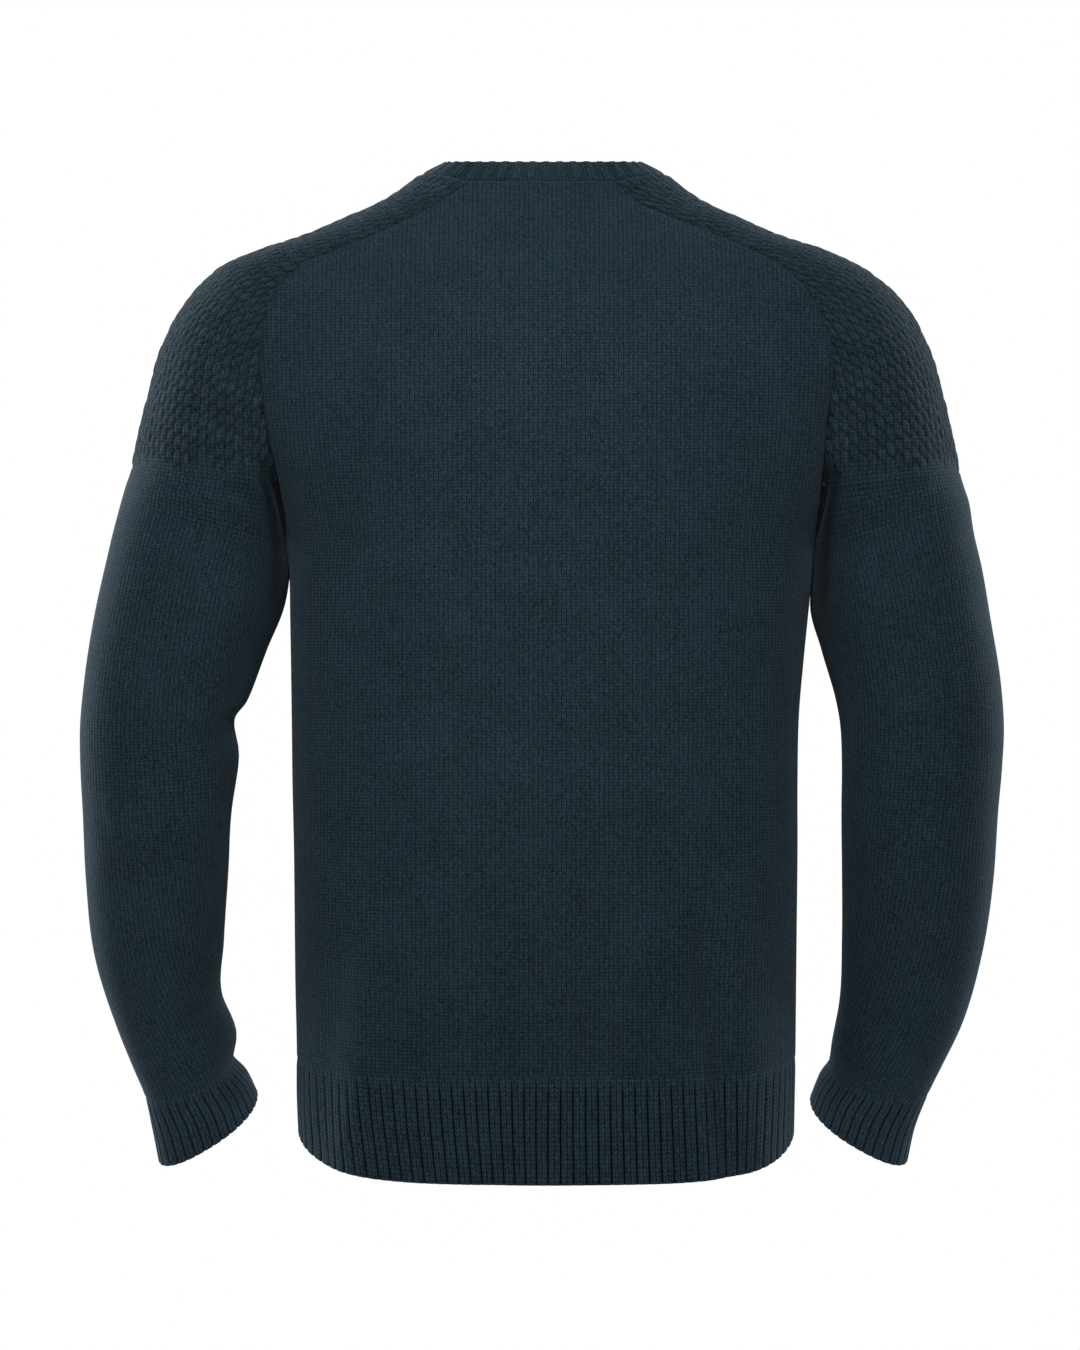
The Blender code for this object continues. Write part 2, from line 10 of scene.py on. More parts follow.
import bpy
import numpy as np
from mathutils import Vector
from mathutils.kdtree import KDTree
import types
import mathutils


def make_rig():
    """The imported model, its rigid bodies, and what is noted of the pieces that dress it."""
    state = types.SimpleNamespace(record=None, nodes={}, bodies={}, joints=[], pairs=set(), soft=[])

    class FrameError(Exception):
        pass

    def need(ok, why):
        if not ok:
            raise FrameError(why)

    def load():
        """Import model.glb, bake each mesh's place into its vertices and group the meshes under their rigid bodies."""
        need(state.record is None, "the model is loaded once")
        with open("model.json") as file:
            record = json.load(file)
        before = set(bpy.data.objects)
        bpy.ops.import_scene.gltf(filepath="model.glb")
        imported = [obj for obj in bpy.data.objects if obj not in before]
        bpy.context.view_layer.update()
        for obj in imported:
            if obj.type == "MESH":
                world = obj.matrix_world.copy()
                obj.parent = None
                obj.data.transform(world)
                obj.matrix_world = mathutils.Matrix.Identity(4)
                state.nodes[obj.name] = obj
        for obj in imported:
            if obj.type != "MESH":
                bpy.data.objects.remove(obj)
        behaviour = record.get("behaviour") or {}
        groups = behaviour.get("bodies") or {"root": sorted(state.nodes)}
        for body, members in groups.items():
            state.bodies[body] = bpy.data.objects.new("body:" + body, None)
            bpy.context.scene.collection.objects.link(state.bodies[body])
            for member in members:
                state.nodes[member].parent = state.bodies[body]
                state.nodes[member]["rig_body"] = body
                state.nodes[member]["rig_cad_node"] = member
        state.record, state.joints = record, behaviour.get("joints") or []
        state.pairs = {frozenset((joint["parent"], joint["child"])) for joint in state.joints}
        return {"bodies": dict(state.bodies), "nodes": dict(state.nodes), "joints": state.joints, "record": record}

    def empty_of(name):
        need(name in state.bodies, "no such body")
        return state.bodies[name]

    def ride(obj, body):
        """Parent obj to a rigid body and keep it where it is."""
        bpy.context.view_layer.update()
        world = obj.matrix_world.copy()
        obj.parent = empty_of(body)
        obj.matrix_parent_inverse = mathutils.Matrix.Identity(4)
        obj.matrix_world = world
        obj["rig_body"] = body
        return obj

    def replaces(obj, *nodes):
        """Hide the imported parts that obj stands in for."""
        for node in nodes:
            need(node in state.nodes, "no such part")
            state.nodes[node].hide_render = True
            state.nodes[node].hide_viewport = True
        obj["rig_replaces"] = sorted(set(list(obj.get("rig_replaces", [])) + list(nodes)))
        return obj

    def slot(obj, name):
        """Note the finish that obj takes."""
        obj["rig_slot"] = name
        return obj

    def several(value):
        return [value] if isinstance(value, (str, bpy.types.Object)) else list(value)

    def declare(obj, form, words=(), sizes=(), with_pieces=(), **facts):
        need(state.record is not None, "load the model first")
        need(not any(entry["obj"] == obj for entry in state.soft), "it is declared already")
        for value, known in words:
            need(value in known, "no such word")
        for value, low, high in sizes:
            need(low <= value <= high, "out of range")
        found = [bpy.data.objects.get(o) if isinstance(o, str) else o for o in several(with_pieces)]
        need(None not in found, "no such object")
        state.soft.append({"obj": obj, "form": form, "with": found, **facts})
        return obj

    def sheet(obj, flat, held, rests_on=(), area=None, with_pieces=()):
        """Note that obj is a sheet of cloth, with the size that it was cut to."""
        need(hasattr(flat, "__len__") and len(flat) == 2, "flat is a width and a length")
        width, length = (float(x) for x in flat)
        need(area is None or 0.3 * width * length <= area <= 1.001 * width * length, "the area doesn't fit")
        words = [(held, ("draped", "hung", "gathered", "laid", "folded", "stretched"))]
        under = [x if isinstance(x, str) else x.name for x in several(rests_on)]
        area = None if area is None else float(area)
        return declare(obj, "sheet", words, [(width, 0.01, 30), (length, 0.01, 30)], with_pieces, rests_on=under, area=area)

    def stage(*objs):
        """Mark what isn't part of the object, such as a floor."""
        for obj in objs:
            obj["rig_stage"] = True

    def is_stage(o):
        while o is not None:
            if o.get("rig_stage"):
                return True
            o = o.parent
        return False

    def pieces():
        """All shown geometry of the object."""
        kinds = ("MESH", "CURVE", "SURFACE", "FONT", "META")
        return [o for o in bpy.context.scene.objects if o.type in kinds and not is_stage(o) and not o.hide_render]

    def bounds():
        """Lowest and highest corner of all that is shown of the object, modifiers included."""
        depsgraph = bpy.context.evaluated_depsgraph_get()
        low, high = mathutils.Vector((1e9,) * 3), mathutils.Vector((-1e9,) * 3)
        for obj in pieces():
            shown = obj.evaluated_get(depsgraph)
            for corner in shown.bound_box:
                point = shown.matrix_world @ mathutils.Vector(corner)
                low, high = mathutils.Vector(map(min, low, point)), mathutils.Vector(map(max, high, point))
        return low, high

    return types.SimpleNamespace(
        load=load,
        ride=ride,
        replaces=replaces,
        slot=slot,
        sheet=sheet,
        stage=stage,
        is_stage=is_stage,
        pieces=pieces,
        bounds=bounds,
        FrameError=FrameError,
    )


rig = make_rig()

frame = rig.load()
cad_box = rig.bounds()


# ---- Studio -------------------------------------------------------------------------------
# A white room with large soft lights above and beside the camera, which stands straight
# behind the jumper, level with its middle. The pale floor is well below the hem.

MM = 0.001
PHOTO_HEIGHT = 1350  # pixels
PIXEL = 0.664  # millimetres on the jumper for each of the photograph's pixels
CAMERA_DISTANCE = 3100.0
SENSOR = 36.0


def linear(colour):
    """An sRGB hex colour as the linear values that a shader takes."""
    values = [int(colour[i : i + 2], 16) / 255 for i in (1, 3, 5)]
    return [v / 12.92 if v <= 0.04045 else ((v + 0.055) / 1.055) ** 2.4 for v in values]


def add_node(tree, kind, inputs=(), **settings):
    """Adds a node. Its inputs, by name or in order, are values or the nodes that feed it."""
    node = tree.nodes.new(kind)
    for name, value in settings.items():
        setattr(node, name, value)
    for key, value in inputs.items() if isinstance(inputs, dict) else enumerate(inputs):
        if isinstance(value, bpy.types.Node):
            value = value.outputs[0]
        if isinstance(value, bpy.types.NodeSocket):
            tree.links.new(value, node.inputs[key])
        else:
            node.inputs[key].default_value = value
    return node


scene = bpy.context.scene
scene.view_settings.view_transform = "Standard"
scene.view_settings.look = "None"

camera = bpy.data.objects.new("camera", bpy.data.cameras.new("camera"))
camera.location = (0.0033, CAMERA_DISTANCE * MM, -0.3253)
camera.rotation_euler = (math.pi / 2, 0.0, math.pi)
camera.data.sensor_fit = "VERTICAL"
camera.data.sensor_width = camera.data.sensor_height = SENSOR
camera.data.lens = SENSOR * CAMERA_DISTANCE / (PHOTO_HEIGHT * PIXEL)
scene.collection.objects.link(camera)
scene.camera = camera

ROOM_LIGHT = 0.015  # how much of the white room's light falls on the jumper
world = bpy.data.worlds.new("white_room")
world.use_nodes = True
seen = add_node(world.node_tree, "ShaderNodeLightPath").outputs["Is Camera Ray"]
brightness = add_node(
    world.node_tree, "ShaderNodeMapRange", {"Value": seen, "To Min": ROOM_LIGHT, "To Max": 1.0}
)
room = world.node_tree.nodes["Background"]
room.inputs["Color"].default_value = (1.0, 1.0, 1.0, 1.0)
world.node_tree.links.new(brightness.outputs["Result"], room.inputs["Strength"])
scene.world = world

# The key lights and the ones in front have grids, so that most of their light falls on the
# upper body. The side lights stand a little beyond the jumper and light the sleeves' edges.
MIDDLE, UPPER = Vector((0.0, 0.0, -0.3)), Vector((0.03, 0.0, -0.13))
OPEN, GRID = 180.0, 28.0  # degrees
for name, place, aim, size, power, spread in (
    ("top_light", (0.2, 0.7, 2.0), MIDDLE, 1.6, 12.0, OPEN),
    ("key_light", (0.1, 2.6, 0.3), UPPER, 1.0, 1.4, GRID),
    ("high_key_light", (0.0, 2.0, 1.2), UPPER, 0.8, 1.5, GRID),
    ("left_light", (2.3, -1.1, 0.4), MIDDLE, 1.4, 104.0, OPEN),
    ("right_light", (-2.3, -1.1, 0.4), MIDDLE, 1.4, 78.0, OPEN),
    ("front_light", (-0.1, -2.6, 0.3), UPPER, 1.0, 1.4, GRID),
    ("high_front_light", (0.0, -2.0, 1.2), UPPER, 0.8, 1.5, GRID),
):
    light = bpy.data.objects.new(name, bpy.data.lights.new(name, "AREA"))
    light.data.shape = "SQUARE"
    light.data.size = size
    light.data.energy = power
    light.data.spread = math.radians(spread)
    light.location = place
    light.rotation_euler = (aim - Vector(place)).to_track_quat("-Z", "Y").to_euler()
    scene.collection.objects.link(light)

# The floor is a round mat of paint that fades into the white of the room at its edge.
FLOOR_HEIGHT, FLOOR_RADIUS, FLOOR_FADE = -1.0, 1.5, 0.8  # metres
FLOOR_CORNERS = 96
turns = np.linspace(0.0, 2 * math.pi, FLOOR_CORNERS, endpoint=False)
floor_mesh = bpy.data.meshes.new("floor")
floor_mesh.from_pydata(
    [(FLOOR_RADIUS * math.cos(a), FLOOR_RADIUS * math.sin(a), FLOOR_HEIGHT) for a in turns],
    [],
    [tuple(range(FLOOR_CORNERS))],
)
floor = bpy.data.objects.new("floor", floor_mesh)
paint = bpy.data.materials.new("matt_white_floor_paint")
paint.use_nodes = True
coat = paint.node_tree.nodes["Principled BSDF"]
coat.inputs["Base Color"].default_value = (0.9, 0.9, 0.9, 1.0)
coat.inputs["Roughness"].default_value = 0.9
place = add_node(paint.node_tree, "ShaderNodeTexCoord").outputs["Object"]
flat = add_node(
    paint.node_tree, "ShaderNodeVectorMath", (place, (1.0, 1.0, 0.0)), operation="MULTIPLY"
)
far = add_node(paint.node_tree, "ShaderNodeVectorMath", (flat,), operation="LENGTH")
solid = add_node(
    paint.node_tree,
    "ShaderNodeMapRange",
    {"Value": far.outputs["Value"], "From Min": FLOOR_RADIUS, "From Max": FLOOR_FADE},
    interpolation_type="SMOOTHSTEP",
)
paint.node_tree.links.new(solid.outputs["Result"], coat.inputs["Alpha"])
floor_mesh.materials.append(paint)
scene.collection.objects.link(floor)
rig.stage(floor)


# ---- Back ---------------------------------------------------------------------------------
# The back is one panel of fine lambswool jersey, narrowed along both shoulders as it is
# knitted. It is linked to the saddles and the sleeves, and its hem rib is knitted on below.

JERSEY_WALL = 2.0
WALE = 3.05  # the width of one column of jersey stitches
COURSE = 2.07  # the height of one row of them
WALE_HEIGHT = 1.4
SAMPLES = 240  # fine points along a section before the stitches are laid on it
YOKE_STEP, BODY_STEP = 2.6, 5.5  # rows of the mesh above and below the underarm
INSIDE_STEP = 4  # the plain inside has every fourth row and column
WELD = 1e-4

# The seam that joins the saddle and the sleeve's cap to the body, from the neck down to
# the underarm, where its back and front runs meet. swell is how far the sleeve rounds out
# and square is how the rows turn into the seam, as in the solids.


def table(columns, rows):
    """A table as one array for each named column."""
    return dict(zip(columns.split(), np.array(rows, float).T))


SEAM = table(
    "z back_y front_y ridge_y swell square",
    (
        (-3, 57, -38, 8, 0, 1.00), (-18, 60, -47, 6, 0, 1.00),
        (-33, 66, -56, 4, 0, 1.00), (-50, 72, -64, 2, 0, 0.98),
        (-59, 74, -68, 1, 0, 0.96), (-72, 76, -72, 0, 0, 0.94),
        (-90, 78, -78, 0, 0, 0.91), (-115, 79, -82, 0, 1, 0.87),
        (-140, 77, -80, 0, 2, 0.82), (-165, 70, -71, 0, 6, 0.75),
        (-187, 58, -57, 0, 14, 0.68), (-203, 43, -43, 0, 25, 0.61),
        (-223, 25, -26, 0, 40, 0.54), (-243, 0, 0, 0, 57, 0.45),
    ),
)
# The same rows: where the seam lies, and where the sleeve's outer edge is abreast of it.
LEFT_CAP = table(
    "seam_x edge_x edge_z",
    (
        (48, 82, 5), (70, 103, -10), (97, 130, -23), (136, 168, -38.5),
        (157, 190, -45.5), (171, 215, -56.5), (180, 236, -77), (185, 254, -109),
        (185, 262, -138), (182, 268, -160), (178, 272, -179), (175, 274, -189),
        (171.5, 278, -201), (171, 281, -212),
    ),
)
RIGHT_CAP = table(
    "seam_x edge_x edge_z",
    (
        (-45, -80, 5), (-61, -100, -10), (-95, -126, -23), (-135, -163, -38.5),
        (-151, -187, -46), (-166, -213, -58.5), (-178, -236, -78), (-187, -254, -109),
        (-187, -263, -139), (-184, -269, -163), (-183, -273, -182), (-182, -275, -192),
        (-179.5, -278, -202), (-178, -281, -212),
    ),
)
# The body's middle line, row for row with the seam, and the body below the underarm.
YOKE = table(
    "back_y front_y",
    (
        (61, -58), (69, -64), (77, -73), (85, -82), (89, -86), (93, -92), (99, -100),
        (105, -110), (108, -116), (109, -120), (108, -123), (107, -124), (105, -124),
        (103, -124),
    ),
)
TORSO = table(
    "z left_x right_x back_y front_y drop",
    (
        (-260, 169, -176.5, 101, -124, 0), (-285, 168.5, -174, 98, -123, 0),
        (-315, 168, -171, 95, -120, 0), (-350, 167.5, -168, 92, -117, 0),
        (-395, 167, -167, 91, -115, 0), (-440, 166, -167, 92, -114, 1),
        (-485, 165.5, -166.5, 94, -114, 3), (-530, 165, -166, 97, -115, 5),
        (-576, 164, -165.5, 100, -116, 8), (-600, 164, -165, 102, -117, 17),
        (-626, 163, -164.5, 102, -117, 27),
    ),
)
TORSO_SIDE = 0.38  # the square of every body row below the underarm
LEFT_BOW, RIGHT_BOW = 2.4, 2.6  # exponents of a body row across its width
RIB_TOP_Z = -576.0
FOLD_END = 0.35  # share of a fold's length in which it rises from the cloth
OFF_THE_HEM = -635.0  # a fold whose foot is lower than this runs off the hem

# The folds run from top to foot, each an x and z on the body, with half width and height
# (a trough is negative). The first thirteen are those of the solids, two of them lower.
BODY_FOLDS = table(
    "side top_x top_z foot_x foot_z width height",
    (
        (1, 112, -430, 128, -640, 18, 3.8), (1, 146, -480, 156, -640, 14, -3.4),
        (1, -92, -440, -116, -640, 19, -5), (1, -126, -420, -140, -640, 18, 4),
        (1, 10, -500, 0, -640, 34, 2.5), (1, 150, -190, 118, -300, 20, -3),
        (1, -156, -190, -122, -290, 20, -3), (-1, 104, -440, 122, -640, 19, 5),
        (-1, 60, -470, 66, -640, 20, -4), (-1, -82, -450, -88, -640, 20, -4),
        (-1, -118, -430, -134, -640, 19, 5), (-1, 140, -200, 84, -280, 20, -4),
        (-1, -142, -200, -80, -286, 20, -4),
        (1, 106, -440, 132, -640, 9, 1.6), (1, 128, -470, 146, -640, 8, -3.0),
        (1, -97, -450, -119, -640, 8, -4), (1, -82, -440, -105, -640, 8, 2.2),
        (1, 84, -120, 80, -330, 14, 1.5), (1, -16, -110, -20, -400, 16, 1.2),
        (1, 40, -480, 34, -640, 10, -1.2), (-1, 90, -450, 104, -640, 9, 2.5),
        (-1, -98, -460, -108, -640, 9, -3),
    ),
)


def through(values, at, wanted):
    """Values between a table's rows, on a smooth curve that passes through them all."""
    slopes = np.gradient(values, at)
    i = np.clip(np.searchsorted(at, wanted) - 1, 0, len(at) - 2)
    step = at[i + 1] - at[i]
    s = (wanted - at[i]) / step
    return (
        (1 + 2 * s) * (1 - s) ** 2 * values[i]
        + s * (1 - s) ** 2 * step * slopes[i]
        + s * s * (3 - 2 * s) * values[i + 1]
        + s * s * (s - 1) * step * slopes[i + 1]
    )


def smoothstep(value):
    value = np.clip(value, 0.0, 1.0)
    return value * value * (3.0 - 2.0 * value)


def running_length(points):
    """The length along a line, or along each of several lines, at each of its points."""
    steps = np.linalg.norm(np.diff(points, axis=-2), axis=-1)
    start = np.zeros(steps.shape[:-1] + (1,))
    return np.concatenate((start, np.cumsum(steps, axis=-1)), axis=-1)


# A row's place is its distance down the left back seam, and below the underarm down the side
SEAM_AT = running_length(np.stack([LEFT_CAP["seam_x"], SEAM["z"]], axis=1))
BODY_AT = np.concatenate((SEAM_AT, SEAM_AT[-1] + SEAM["z"][-1] - TORSO["z"]))
UNDERARM_AT = SEAM_AT[-1]


def at_height(z):
    """The place of the body's row at a height below the underarm."""
    return UNDERARM_AT + SEAM["z"][-1] - z


def front_seam(cap):
    """The front saddle seam's x starts wider than the back one's, at the V's shoulder."""
    wide = (70.0, 79.9, 97.0) if cap is LEFT_CAP else (-70.0, -79.9, -95.0)
    return np.concatenate((wide, cap["seam_x"][3:]))


def fold_height(folds, side, points):
    """How far the folds of one side raise each point."""
    height = np.zeros(points.shape[:-1])
    for i in np.flatnonzero(folds["side"] == side):
        fold = {name: values[i] for name, values in folds.items()}
        along = (fold["top_z"] - points[..., 2]) / (fold["top_z"] - fold["foot_z"])
        middle = fold["top_x"] + (fold["foot_x"] - fold["top_x"]) * along
        across = np.exp(-(((points[..., 0] - middle) / fold["width"]) ** 2))
        rise = smoothstep(along / FOLD_END)
        if fold["foot_z"] > OFF_THE_HEM:
            rise = rise * smoothstep((1.0 - along) / FOLD_END)
        height += fold["height"] * across * rise
    return height


def body_lines(side, at):
    """Fine sections across the back (side 1) or the front (side -1), left to right."""
    name = "back_y" if side > 0 else "front_y"
    seams = [front_seam(c) if side < 0 else c["seam_x"] for c in (LEFT_CAP, RIGHT_CAP)]

    def row(on_seam, below):
        values = np.concatenate((on_seam, np.broadcast_to(below, TORSO["z"].shape)))
        return through(values, BODY_AT, at)[:, None]

    left, right = row(seams[0], TORSO["left_x"]), row(seams[1], TORSO["right_x"])
    end_y, middle_y = row(SEAM[name], 0.0), row(YOKE[name], TORSO[name])
    square = row(SEAM["square"], TORSO_SIDE)
    drop = row(SEAM["z"] * 0.0, TORSO["drop"] * (1.0 if side > 0 else 0.75))
    across = np.sin(np.linspace(math.pi / 2, -math.pi / 2, SAMPLES + 1))[None]
    bow = np.maximum(1.0 - np.abs(across) ** np.where(across > 0, LEFT_BOW, RIGHT_BOW), 0.0)
    bow = bow**square
    x = (left + right) / 2 + (left - right) / 2 * across
    z = row(SEAM["z"], TORSO["z"]) - drop * smoothstep(bow)
    points = np.stack([x, end_y + (middle_y - end_y) * bow, z], axis=-1)
    points[..., 1] += side * fold_height(BODY_FOLDS, side, points) * bow
    return points


def points_at(line, lengths, wanted):
    """The points at the wanted lengths along a line, whose own points lie at lengths."""
    return np.stack([np.interp(wanted, lengths, line[:, k]) for k in range(3)], axis=-1)


def place_of(lines, x):
    """How far along each line, which runs from left to right, it passes x."""
    x = np.broadcast_to(x, len(lines))
    lengths = running_length(lines)
    return np.array([np.interp(-x[i], -lines[i, :, 0], lengths[i]) for i in range(len(lines))])


def lay(lines, start, end, middle, step):
    """A grid of points a step apart along each line, counted from the line's middle.

    Beyond a line's start and end its points lie on that end, so the columns run straight
    and the seam cuts them off. Gives the points and how far each is from the middle.
    """
    reach = int(max((middle - start).max(), (end - middle).max()) / step) + 2
    wanted = middle[:, None] + np.arange(-reach, reach + 1) * step
    wanted = np.clip(wanted, start[:, None], end[:, None])
    points = np.stack([points_at(*row) for row in zip(lines, running_length(lines), wanted)])
    return points, wanted - middle[:, None]


class Cloth:
    """A knitted piece's outer surface, seen from outside with its rows running down."""

    def __init__(self, *grids):
        """Each grid is its points, and how far they are across and along the knit."""
        stacked = np.vstack([grid[0].reshape(-1, 3) for grid in grids])
        keys = np.round(stacked / WELD).astype(np.int64)
        _, first, index = np.unique(keys, axis=0, return_index=True, return_inverse=True)
        self.points = stacked[first]
        self.across = np.concatenate([grid[1].ravel() for grid in grids])[first]
        self.along = np.concatenate([grid[2].ravel() for grid in grids])[first]
        self.grids, start = [], 0
        for grid in grids:
            size = grid[1].size
            self.grids.append(index.reshape(-1)[start : start + size].reshape(grid[1].shape))
            start += size
        self.faces = self.faces_of(self.grids)
        self.find_normals()

    @staticmethod
    def faces_of(grids):
        """Quads and triangles between neighbouring rows, without those that have no width."""
        quads, triangles = [], []
        for g in grids:
            corners = np.stack([g[:-1, :-1], g[1:, :-1], g[1:, 1:], g[:-1, 1:]], axis=-1)
            corners = corners.reshape(-1, 4)
            same = corners == np.roll(corners, -1, axis=1)
            quads.append(corners[same.sum(axis=1) == 0])
            narrow = same.sum(axis=1) == 1
            triangles.append(corners[narrow][~same[narrow]].reshape(-1, 3))
        return np.vstack(quads), np.vstack(triangles)

    def find_normals(self):
        quads, triangles = self.faces
        corners = np.vstack([quads[:, :3], quads[:, [0, 2, 3]], triangles])
        a, b, c = (self.points[corners[:, k]] for k in range(3))
        turned = np.cross(b - a, c - a)
        total = np.zeros_like(self.points)
        for k in range(3):
            np.add.at(total, corners[:, k], turned)
        self.normals = total / np.maximum(np.linalg.norm(total, axis=1), 1e-12)[:, None]

    def raise_by(self, height, seam=None):
        """Moves the surface out. At a seam both its pieces move the same way, and stay shut."""
        way = self.normals
        if seam is not None:
            distance, seam_way = seam
            own = smoothstep(distance / SEAM_REACH)[:, None]
            way = way * own + seam_way * (1.0 - own)
        self.points = self.points + way * height[:, None]
        self.find_normals()

    def rim(self):
        """The loops of places round the cloth's edges, in its faces' direction."""
        quads, triangles = self.faces
        edges = [face[:, [k, (k + 1) % face.shape[1]]] for face in (quads, triangles)
                 for k in range(face.shape[1])]
        edges = np.vstack(edges)
        count = len(self.points)
        code, back = edges[:, 0] * count + edges[:, 1], edges[:, 1] * count + edges[:, 0]
        after = {}
        for a, b in edges[~np.isin(code, back)]:
            after.setdefault(int(a), []).append(int(b))
        loops = []
        while after:
            start = next(iter(after))
            loop = [start]
            while True:
                following = after[loop[-1]]
                place = following.pop()
                if not following:
                    del after[loop[-1]]
                if place == start:
                    break
                loop.append(place)
            loops.append(loop)
        return loops

    def wall(self, name, thickness, rows=INSIDE_STEP, columns=INSIDE_STEP, fade=None, clear=None):
        """Makes the piece: this surface, a plain inside with fewer points, and its rims.

        fade is where the knit's relief shows. clear is the painted shade and highlight: below 1 in the painted dark of
        a seam or fold, above 1 on a painted highlight, else 1.
        """
        parts = []
        for g in self.grids:
            keep_rows = sorted({*range(0, g.shape[0], rows), g.shape[0] - 1})
            keep_columns = sorted({*range(0, g.shape[1], columns), g.shape[1] - 1})
            parts.append(g[np.ix_(keep_rows, keep_columns)])
        twins = np.unique(np.concatenate([part.ravel() for part in parts]))
        count = len(self.points)
        inner = np.full(count, -1)
        inner[twins] = count + np.arange(len(twins))
        faces = [list(map(int, face)) for group in self.faces for face in group]
        for group in self.faces_of(parts):
            faces += [[int(inner[place]) for place in reversed(face)] for face in group]
        sharp = set()
        for loop in self.rim():
            starts = [i for i, place in enumerate(loop) if inner[place] >= 0]
            loop = loop[starts[0] :] + loop[: starts[0] + 1]
            last = int(inner[loop[0]])
            for a, b in zip(loop, loop[1:]):
                faces.append([b, a, last])
                sharp.add(frozenset((a, b)))
                if inner[b] >= 0 and inner[b] != last:
                    faces.append([b, last, int(inner[b])])
                    sharp.add(frozenset((last, int(inner[b]))))
                    last = int(inner[b])
        points = np.vstack([self.points, self.points[twins] - self.normals[twins] * thickness])
        mesh = bpy.data.meshes.new(name)
        mesh.from_pydata((points * MM).tolist(), [], faces)
        fade = np.ones(count) if fade is None else fade
        clear = np.ones(count) if clear is None else clear
        for label, outer, inside in (
            ("across", self.across, self.across[twins]),
            ("along", self.along, self.along[twins]),
            ("outside", fade, np.zeros(len(twins))),
            ("painted_shade_and_highlight", clear, np.ones(len(twins))),
        ):
            values = mesh.attributes.new(label, "FLOAT", "POINT").data
            values.foreach_set("value", np.concatenate((outer, inside)).astype(np.float32))
        outward = np.vstack([self.normals, self.normals[twins]])
        values = mesh.attributes.new("outward", "FLOAT_VECTOR", "POINT").data
        values.foreach_set("vector", outward.astype(np.float32).ravel())
        mesh.shade_smooth()
        ends = np.zeros(len(mesh.edges) * 2, np.int32)
        mesh.edges.foreach_get("vertices", ends)
        marks = [frozenset(pair) in sharp for pair in ends.reshape(-1, 2).tolist()]
        mesh.attributes.new("sharp_edge", "BOOLEAN", "EDGE").data.foreach_set("value", marks)
        return mesh


# How much the cloth beside the seam faces up, against its distance behind the shoulder line
SEAM_FACES_UP = table(
    "at lift", ((0, 18), (60, 42), (100, 38), (150, 12), (200, -8), (240, -30), (305, -40))
)


def seam_line(side, cap):
    """The saddle and sleeve seam on one side of one shoulder, in steps of about 1 mm.

    Gives its points, and the way that the cloth on both sides of each faces.
    """
    at = np.arange(0.0, UNDERARM_AT + 0.5, 1.0)
    x = front_seam(cap) if side < 0 else cap["seam_x"]
    y = SEAM["back_y"] if side > 0 else SEAM["front_y"]
    points = np.stack([through(values, SEAM_AT, at) for values in (x, y, SEAM["z"])], axis=1)
    lift = np.interp(at, SEAM_FACES_UP["at"], SEAM_FACES_UP["lift"])
    return points, np.stack([points[:, 0] * 0.07, points[:, 1], lift], axis=1)


def neck_line(points):
    """The neckband's seam along one piece, as seam_line gives a seam."""
    lengths = running_length(points)
    at = np.arange(0.0, lengths[-1] + 0.5, 1.0)
    points = points_at(points, lengths, at)
    return points, np.stack([points[:, 0] * 0.4, points[:, 1], points[:, 0] * 0 + 45], axis=1)


def nearest(points, *seams):
    """How far each point is from the nearest of some seams, and which way that seam faces.

    Gives also where along that seam it is, in millimetres from the seam's start.
    """
    run = np.vstack([seam[0] for seam in seams])
    ways = np.vstack([seam[1] for seam in seams])
    ways = ways / np.linalg.norm(ways, axis=1)[:, None]
    places = np.concatenate([np.arange(len(seam[0])) for seam in seams])
    tree = KDTree(len(run))
    for i, place in enumerate(run):
        tree.insert(place, i)
    tree.balance()
    found = [tree.find(point)[1:] for point in points]
    index = [i for i, _ in found]
    return np.array([far for _, far in found]), ways[index], places[index]


MATH, ATTRIBUTE = "ShaderNodeMath", "GeometryNodeInputNamedAttribute"


def relief_tree(name, *sizes):
    """Starts a geometry tree with its inputs: the sizes, in millimetres, and the yarn."""
    tree = bpy.data.node_groups.new(name, "GeometryNodeTree")
    tree.interface.new_socket("Geometry", in_out="OUTPUT", socket_type="NodeSocketGeometry")
    tree.interface.new_socket("Geometry", in_out="INPUT", socket_type="NodeSocketGeometry")
    for size in sizes:
        tree.interface.new_socket(size, in_out="INPUT", socket_type="NodeSocketFloat")
    tree.interface.new_socket("Yarn", in_out="INPUT", socket_type="NodeSocketMaterial")
    return tree, tree.nodes.new("NodeGroupInput").outputs


